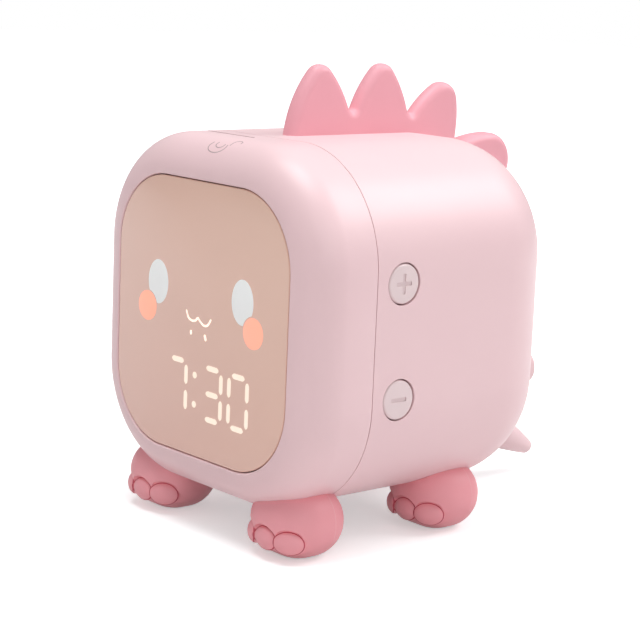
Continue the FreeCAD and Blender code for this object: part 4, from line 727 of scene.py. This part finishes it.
class CLOCK_OT_finishes(bpy.types.Operator):
    """Mix the finishes"""

    bl_idname = "clock.finishes"
    bl_label = "Finishes"

    def execute(self, context):
        tints = context.scene.clock_colours
        moulded("shell", tints.case, tints.case_deep, rough=0.38)
        moulded("button", tints.button, tints.button_deep, rough=0.42)
        # Painted shade of the toes' grooves
        moulded("toe_line", tints.toe_line, tints.toe_groove_shade_deep, rough=0.5)
        # A real mould line, with a painted highlight in its lighter colour
        moulded("mould_line", tints.mould_line, tints.mould_line_highlight_deep, rough=0.45)
        moulded("crest", tints.crest, tints.crest_deep, rough=0.44)
        moulded("paw", tints.paw, tints.paw_deep, rough=0.46)
        smoked_window("window", tints.window_high, tints.window_low)
        printed("eye_print", tints.eye, lightness=0.32)
        printed("cheek_print", tints.cheek, lightness=0.4)
        printed("mouth_print", tints.lit, lightness=0.6)
        # Painted shade in the engraved signs
        printed("sign_print", tints.sign)
        # The touch symbol's marks and the painted seam shadow
        printed("symbol_print", tints.symbol)
        lit_bar("lit_segment", tints.lit)
        moulded("dark_plastic", linear(34, 34, 37), linear(24, 24, 27))
        moulded("diffuser", linear(240, 238, 234), linear(228, 226, 222), rough=0.5)
        printed("led", linear(255, 232, 160), lightness=0.3)
        circuit_board("board")
        metal("metal", linear(196, 197, 200))
        metal("dark_metal", linear(112, 113, 118), rough=0.34)
        metal("copper", linear(214, 140, 104), rough=0.3)
        soft("foam", linear(58, 58, 62), linear(36, 36, 40))
        soft("battery_wrap", linear(92, 146, 200), linear(78, 128, 182), scale=700)
        soft("paper", linear(52, 52, 55), linear(36, 36, 38), scale=2600)
        slots = {part["node"]: part["material_slot"] for part in frame["record"]["subparts"]}
        for name, node in frame["nodes"].items():
            for slot in node.material_slots:
                slot.material = finishes[slots[name]]
        return {"FINISHED"}


class CLOCK_OT_front(bpy.types.Operator):
    """Add the front half of the case and the window in it"""

    bl_idname = "clock.front"
    bl_label = "Front and window"

    def execute(self, context):
        sizes = context.scene.clock_sizes

        def shell(build):
            seam = SEAM_Y - sizes.seam_gap
            rim = quarter_round(sizes.rim_round, steps=4)
            outside = quarter_round(FRONT_ROUND, steps=30, first=2)
            inside = quarter_round(FRONT_ROUND - WALL, steps=6, first=2)
            rings = [window_ring(build, sizes, sizes.window_gap, FRONT_Y + sizes.rim_back)]
            rings += [window_ring(build, sizes, sizes.window_gap + outset, FRONT_Y + behind)
                      for outset, behind in rim]
            rings += [case_ring(build, inset, FRONT_Y + behind) for behind, inset in outside]
            rings += [case_ring(build, inset, seam - ahead)
                      for inset, ahead in quarter_round(sizes.seam_edge, steps=3)]
            rings.append(case_ring(build, WALL, seam))
            rings += [case_ring(build, WALL + inset, FRONT_Y + WALL + behind)
                      for behind, inset in reversed(inside)]
            join_in_loop(build, rings)

        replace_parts(new_piece("front_case", shell, "shell", sharp=50), "front_shell")

        def window(build):
            front = window_front(sizes)
            rings = [window_ring(build, sizes, 0, FRONT_Y + sizes.window_back)]
            rings += [window_ring(build, sizes, -inset, front + behind)
                      for inset, behind in quarter_round(sizes.window_round, steps=4)]
            close_loft(build, rings)

        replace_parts(new_piece("window", window, "window"), "face_lens")
        return {"FINISHED"}


class CLOCK_OT_symbol(bpy.types.Operator):
    """Print the touch symbol and lay a short dark line of painted seam shadow on top of the case
    """

    bl_idname = "clock.symbol"
    bl_label = "Touch symbol"

    def execute(self, context):
        sizes = context.scene.clock_sizes

        def lines(build):
            for points in SYMBOL:
                line_on_top(build, sizes, smoothed(scaled(points)), sizes.symbol_rise)
            # A dark line of painted seam shadow
            line_on_top(build, sizes, scaled(SEAM_SHADOW_LINE), sizes.seam_shadow_rise)

        piece = new_piece("touch_symbol", lines, "symbol_print")
        return {"FINISHED"}


class CLOCK_OT_side_buttons(bpy.types.Operator):
    """Add the plus and minus buttons with their engraved signs"""

    bl_idname = "clock.side_buttons"
    bl_label = "Side buttons"

    def execute(self, context):
        sizes = context.scene.clock_sizes
        for name, both_bars in (("plus", True), ("minus", False)):
            low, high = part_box(name + "_button")
            y, z, front = (low.y + high.y) / 2, (low.z + high.z) / 2, high.x
            flange = (high.y - low.y) / 2
            cap = flange - sizes.flange_rim

            def turned(build):
                shoulder = front - sizes.cap_height
                seat = shoulder - sizes.flange_height
                profile = [(low.x, sizes.stem_radius), (seat, sizes.stem_radius), (seat, flange),
                           (shoulder, flange), (shoulder, cap), (front - sizes.cap_edge, cap)]
                profile += [(front - behind, cap - inset) for inset, behind
                            in quarter_round(sizes.cap_edge, steps=5, first=1)]
                close_loft(build, [[build.verts.new((x, a, b))
                                    for a, b in ellipse(y, z, radius, radius, count=72)]
                                   for x, radius in profile])

            def bars(build, grow, back_x, front_x):
                half_long, half_wide = sizes.sign_length / 2 + grow, sizes.sign_width / 2 + grow
                corners = plus_outline(half_long, half_wide) if both_bars else [
                    (half_long, -half_wide), (half_long, half_wide),
                    (-half_long, half_wide), (-half_long, -half_wide)]
                outline = softened(corners, sizes.sign_corner)
                close_loft(build, [[build.verts.new((x, y + along, z + up))
                                    for along, up in outline] for x in (back_x, front_x)])

            def recess(build):
                bars(build, 0, front - sizes.engraving, front + sizes.engraving)

            # A darker layer on the engraving's floor: painted shade of the engraving
            def colouring(build):
                ground = front - sizes.engraving
                bars(build, -sizes.sign_shade_gap, ground - sizes.sign_shade_sink, ground + sizes.sign_shade_height)

            piece = new_piece(name + "_cap", turned, "button", name + "_key", cutter=recess)
            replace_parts(piece, name + "_button")
            new_piece(name + "_sign", colouring, "sign_print", name + "_key")
        return {"FINISHED"}


class CLOCK_OT_paw_lines(bpy.types.Operator):
    """Add a dark line of painted shade round each toe's groove and the mould line, lighter with a
    painted highlight, round each paw
    """

    bl_idname = "clock.paw_lines"
    bl_label = "Paw lines"

    def execute(self, context):
        sizes = context.scene.clock_sizes
        steps = 96
        turns = [2 * math.pi * step / steps for step in range(steps)]
        toe_clear, paw_clear = 5 * MM, 30 * MM  # how far off the paw the rays start
        for name in ("front_left_foot", "front_right_foot", "rear_left_foot", "rear_right_foot"):
            node = frame["nodes"][name]
            surface = BVHTree.FromPolygons([node.matrix_world @ v.co for v in node.data.vertices],
                                           [face.vertices for face in node.data.polygons])
            low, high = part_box(name)
            middle = Vector(((low.x + high.x) / 2, high.y - PAW_HALF_DEPTH, 0))

            # Each toe's dark line is painted shade of the groove round the toe
            def toes(build):
                for side in (-1, 0, 1):
                    turn = Matrix.Rotation(side * TOE_LEAN, 3, "Z")
                    inward = turn @ Vector((0, 1, 0))
                    across = turn @ Vector((sizes.toe_half_width, 0, 0))
                    up = Vector((0, 0, sizes.toe_half_height))
                    start = middle - inward * toe_clear + Vector((
                        side * TOE_SPREAD, abs(side) * TOE_DROP - PAW_HALF_DEPTH, TOE_Z))
                    rays = [(start + across * math.cos(angle) + up * math.sin(angle), inward)
                            for angle in turns]
                    laid_on(build, surface, rays, sizes.toe_line, sizes.toe_groove_shade_rise)

            # The mould line is real; its lighter colour is a painted highlight
            def mould_line(build):
                hub = middle + Vector((0, sizes.mould_line_back, PAW_HUB_Z))
                outs = [Vector((math.cos(angle), 0, math.sin(angle))) for angle in turns]
                rays = [(hub + out * paw_clear, -out) for out in outs]
                laid_on(build, surface, rays, sizes.mould_line, sizes.mould_line_rise)

            for label, maker, finish in (("toe_lines", toes, "toe_line"),
                                         ("mould_line", mould_line, "mould_line")):
                piece = new_piece(f"{name}_{label}", maker, finish, sharp=80)
        return {"FINISHED"}


class CLOCK_OT_screws(bpy.types.Operator):
    """Set the case screws into their wells, each the same screw turned its own way"""

    bl_idname = "clock.screws"
    bl_label = "Case screws"

    def execute(self, context):
        sizes = context.scene.clock_sizes
        low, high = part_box("case_screws")
        x = high.x - sizes.head_radius
        low_z, high_z = low.z + sizes.head_radius, high.z - sizes.head_radius

        def whole(build):
            seat = high.y - sizes.head_height
            profile = [(low.y, sizes.tip_radius), (low.y + sizes.tip_length, sizes.shank_radius),
                       (seat, sizes.shank_radius), (seat, sizes.head_radius)]
            profile += [(high.y - below * MM, sizes.head_radius - inset * MM)
                        for below, inset in DOME]
            close_loft(build, [[build.verts.new((a, y, b))
                                for a, b in ellipse(0, 0, radius, radius, count=48)]
                               for y, radius in profile])

        def cross(build):
            close_loft(build, [[build.verts.new((a, high.y + above * MM, b))
                                for a, b in plus_outline(reach * MM, half * MM)]
                               for above, reach, half in CROSS])

        def places(build):
            for side_x in (-x, x):
                for z in (low_z, high_z):
                    build.verts.new((side_x, 0, z))

        screw = new_shape("case_screw", whole, "metal", cutter=cross)
        points = new_shape("screws_in_wells", places, "metal")
        group = bpy.data.node_groups.new("Screws in their wells", "GeometryNodeTree")
        inputs = {}
        for direction, label, kind in (("INPUT", "Geometry", "NodeSocketGeometry"),
                                       ("INPUT", "Screw", "NodeSocketObject"),
                                       ("INPUT", "Most turn", "NodeSocketFloat"),
                                       ("INPUT", "Seed", "NodeSocketInt"),
                                       ("INPUT", "Finish", "NodeSocketMaterial"),
                                       ("OUTPUT", "Geometry", "NodeSocketGeometry")):
            socket = group.interface.new_socket(label, in_out=direction, socket_type=kind)
            if direction == "INPUT":
                inputs[label] = socket.identifier
        add, link = group.nodes.new, group.links.new
        start, end = add("NodeGroupInput"), add("NodeGroupOutput")
        fetch, chance = add("GeometryNodeObjectInfo"), add("FunctionNodeRandomValue")
        spread, real = add("GeometryNodeInstanceOnPoints"), add("GeometryNodeRealizeInstances")
        coat, turn = add("GeometryNodeSetMaterial"), add("ShaderNodeCombineXYZ")
        most, number = chance.inputs[3], chance.outputs[1]  # of its sockets, those for floats
        link(start.outputs["Screw"], fetch.inputs["Object"])
        link(start.outputs["Most turn"], most)
        link(start.outputs["Seed"], chance.inputs["Seed"])
        link(number, turn.inputs["Y"])
        link(start.outputs["Geometry"], spread.inputs["Points"])
        link(fetch.outputs["Geometry"], spread.inputs["Instance"])
        link(turn.outputs["Vector"], spread.inputs["Rotation"])
        link(spread.outputs["Instances"], real.inputs["Geometry"])
        link(real.outputs["Geometry"], coat.inputs["Geometry"])
        link(start.outputs["Finish"], coat.inputs["Material"])
        link(coat.outputs["Geometry"], end.inputs["Geometry"])
        maker = points.modifiers.new("screws", "NODES")
        maker.node_group = group
        for label, value in (("Screw", screw), ("Most turn", math.pi / 2), ("Seed", 7),
                             ("Finish", finishes["metal"])):
            maker[inputs[label]] = value
        bpy.context.view_layer.update()
        plain_mesh(points)
        bpy.data.objects.remove(screw)
        if not points.data.polygons:
            raise RuntimeError("no screws were made")
        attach(points, "case")
        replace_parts(points, "case_screws")
        return {"FINISHED"}


class CLOCK_OT_face(bpy.types.Operator):
    """Add the printed eyes, cheeks, mouth and nostrils to the window"""

    bl_idname = "clock.face"
    bl_label = "Face"

    def execute(self, context):
        sizes = context.scene.clock_sizes

        def eyes(build):
            for side in (-1, 1):
                mark(build, sizes, eye_outline(sizes, side), sizes.print_edge)

        def cheeks(build):
            for side in (-1, 1):
                outline = ellipse(side * sizes.cheek_x, CENTRE_Z + sizes.cheek_z,
                                  sizes.cheek_radius, sizes.cheek_radius)
                mark(build, sizes, outline, sizes.print_edge)

        def lines(build):
            for points, width in ((MOUTH, sizes.mouth_width),
                                  *((nostril, sizes.nostril_width) for nostril in NOSTRILS)):
                mark(build, sizes, stroke(smoothed(scaled(points, up=CENTRE_Z)), width))

        for name, maker, finish in (("eyes", eyes, "eye_print"), ("cheeks", cheeks, "cheek_print"),
                                    ("mouth_and_nostrils", lines, "mouth_print")):
            piece = new_piece(name, maker, finish)
        return {"FINISHED"}


class CLOCK_OT_digits(bpy.types.Operator):
    """Light the bars of the time and the colon in the window"""

    bl_idname = "clock.digits"
    bl_label = "Lit digits"

    def execute(self, context):
        sizes = context.scene.clock_sizes
        half_wide, half_long = sizes.bar_width / 2, sizes.bar_length / 2
        flat = [(-half_long + half_wide, -half_wide), (half_long - half_wide, -half_wide),
                (half_long, 0), (half_long - half_wide, half_wide),
                (-half_long + half_wide, half_wide), (-half_long, 0)]
        upright = [(-z, x) for x, z in flat]
        across, up = sizes.digit_half_width, sizes.digit_half_height
        places = {
            "top": (0, up, flat), "middle": (0, 0, flat), "bottom": (0, -up, flat),
            "upper left": (-across, up / 2, upright), "upper right": (across, up / 2, upright),
            "lower left": (-across, -up / 2, upright), "lower right": (across, -up / 2, upright),
        }
        middle_z = CENTRE_Z + DIGIT_Z * MM

        def bars(build):
            for digit_x, lit in LIT_BARS:
                for bar in lit:
                    x, z, shape = places[bar]
                    outline = [(digit_x * MM + x + px, middle_z + z + pz) for px, pz in shape]
                    mark(build, sizes, softened(outline, sizes.bar_corner))
            for side in (-1, 1):
                mark(build, sizes, ellipse(COLON_X * MM, middle_z + side * COLON_SPREAD * MM,
                                           sizes.dot_radius, sizes.dot_radius, count=32))

        piece = new_piece("lit_digits", bars, "lit_segment")
        return {"FINISHED"}


class CLOCK_OT_stage(bpy.types.Operator):
    """Set up the floor, the world, the lamps and the camera"""

    bl_idname = "clock.stage"
    bl_label = "Stage"

    def add_floor(self):
        """A floor that keeps the shadow and fades to white with distance from the clock; its glow
        is dimmed near the clock, a painted shade that deepens the shadow there.
        """
        finish = Finish("floor")
        path = finish.node("ShaderNodeLightPath")
        camera_ray = path.out("Is Camera Ray")
        seen = camera_ray + path.out("Is Glossy Ray") + path.out("Is Transmission Ray")
        paper = finish.node("ShaderNodeBsdfDiffuse", None, {
            "Color": finish.blend(camera_ray, FLOOR_BOUNCE, FLOOR_SEEN)})
        away = finish.node("ShaderNodeVectorMath", {"operation": "LENGTH"}, {0: finish.place})
        # Painted shade: the floor's glow is dimmed near the clock
        glow_with_painted_shade = finish.node("ShaderNodeMapRange", None, {
            "Value": away.out("Value"), "From Min": FLOOR_SHADE_FROM, "From Max": FLOOR_SHADE_TO,
            "To Min": FLOOR_SHADE_LOW, "To Max": 1.0})
        white = finish.node("ShaderNodeEmission", None, {
            "Color": (1, 1, 1), "Strength": seen * glow_with_painted_shade})
        finish.ends_in(finish.node("ShaderNodeAddShader", None, {0: paper, 1: white}))

        def sheet(build):
            build.faces.new([build.verts.new((x * FLOOR_HALF, y * FLOOR_HALF, 0))
                             for x, y in ((-1, -1), (1, -1), (1, 1), (-1, 1))])

        floor = new_shape("floor", sheet, "floor")

    def set_world(self, scene):
        """A backdrop that is white where it is seen and lights the clock less."""
        scene.world = bpy.data.worlds.new("studio")
        sky = Nodes(scene.world)
        path = sky.node("ShaderNodeLightPath")
        seen = sky.maths("MAXIMUM", path.out("Is Camera Ray"), path.out("Is Transmission Ray"))
        strength = sky.node("ShaderNodeMapRange", None, {
            "Value": seen, "To Min": WORLD_LIGHT, "To Max": 1.0})
        backdrop = sky.node("ShaderNodeBackground", None, {
            "Color": (1, 1, 1), "Strength": strength})
        sky.node("ShaderNodeOutputWorld", None, {"Surface": backdrop})

    def add_lamps(self, scene):
        for name, place, width, watts in LAMPS:
            lamp = bpy.data.lights.new(name, "AREA")
            lamp.shape = "DISK"
            lamp.size = width
            lamp.energy = watts
            holder = bpy.data.objects.new(name, lamp)
            scene.collection.objects.link(holder)
            aim = Vector((0, 0, CENTRE_Z)) - Vector(place)
            holder.matrix_world = (Matrix.Translation(place)
                                   @ aim.to_track_quat("-Z", "Y").to_matrix().to_4x4())

    def add_camera(self, scene):
        view = bpy.data.cameras.new("camera")
        view.sensor_width = CAMERA_SENSOR
        view.lens = CAMERA_LENS
        camera = bpy.data.objects.new("camera", view)
        scene.collection.objects.link(camera)
        level = math.cos(CAMERA_ELEVATION)
        back = Vector((math.sin(CAMERA_AZIMUTH) * level, -math.cos(CAMERA_AZIMUTH) * level,
                       math.sin(CAMERA_ELEVATION)))
        right = Vector((math.cos(CAMERA_AZIMUTH), math.sin(CAMERA_AZIMUTH), 0))
        up = back.cross(right)
        across = math.cos(CAMERA_ROLL) * right + math.sin(CAMERA_ROLL) * up
        upward = -math.sin(CAMERA_ROLL) * right + math.cos(CAMERA_ROLL) * up
        turn = Matrix((across, upward, back)).transposed().to_4x4()
        camera.matrix_world = Matrix.Translation(CAMERA_PLACE) @ turn
        scene.camera = camera

    def execute(self, context):
        scene = context.scene
        self.add_floor()
        self.set_world(scene)
        self.add_lamps(scene)
        self.add_camera(scene)
        scene.view_settings.view_transform = "Standard"
        return {"FINISHED"}


class CLOCK_PT_pieces(bpy.types.Panel):
    """Lists the pieces, sizes and colours of the clock."""

    bl_idname = "CLOCK_PT_pieces"
    bl_label = "Alarm clock"
    bl_space_type = "VIEW_3D"
    bl_region_type = "UI"
    bl_category = "Clock"

    def draw(self, context):
        for operator in PIECES:
            self.layout.operator(operator.bl_idname)
        for group in (context.scene.clock_sizes, context.scene.clock_colours):
            column = self.layout.column()
            for name in group.__annotations__:
                column.prop(group, name)


PIECES = (CLOCK_OT_finishes, CLOCK_OT_front, CLOCK_OT_symbol, CLOCK_OT_side_buttons,
          CLOCK_OT_paw_lines, CLOCK_OT_screws, CLOCK_OT_face, CLOCK_OT_digits, CLOCK_OT_stage)
CLASSES = (ClockSizes, ClockColours, *PIECES, CLOCK_PT_pieces)


def register():
    for item in CLASSES:
        bpy.utils.register_class(item)
    bpy.types.Scene.clock_sizes = PointerProperty(type=ClockSizes)
    bpy.types.Scene.clock_colours = PointerProperty(type=ClockColours)


def unregister():
    del bpy.types.Scene.clock_colours
    del bpy.types.Scene.clock_sizes
    for item in reversed(CLASSES):
        bpy.utils.unregister_class(item)


def main():
    register()
    for operator in PIECES:
        group, name = operator.bl_idname.split(".")
        getattr(getattr(bpy.ops, group), name)()


if __name__ == "__main__":
    main()
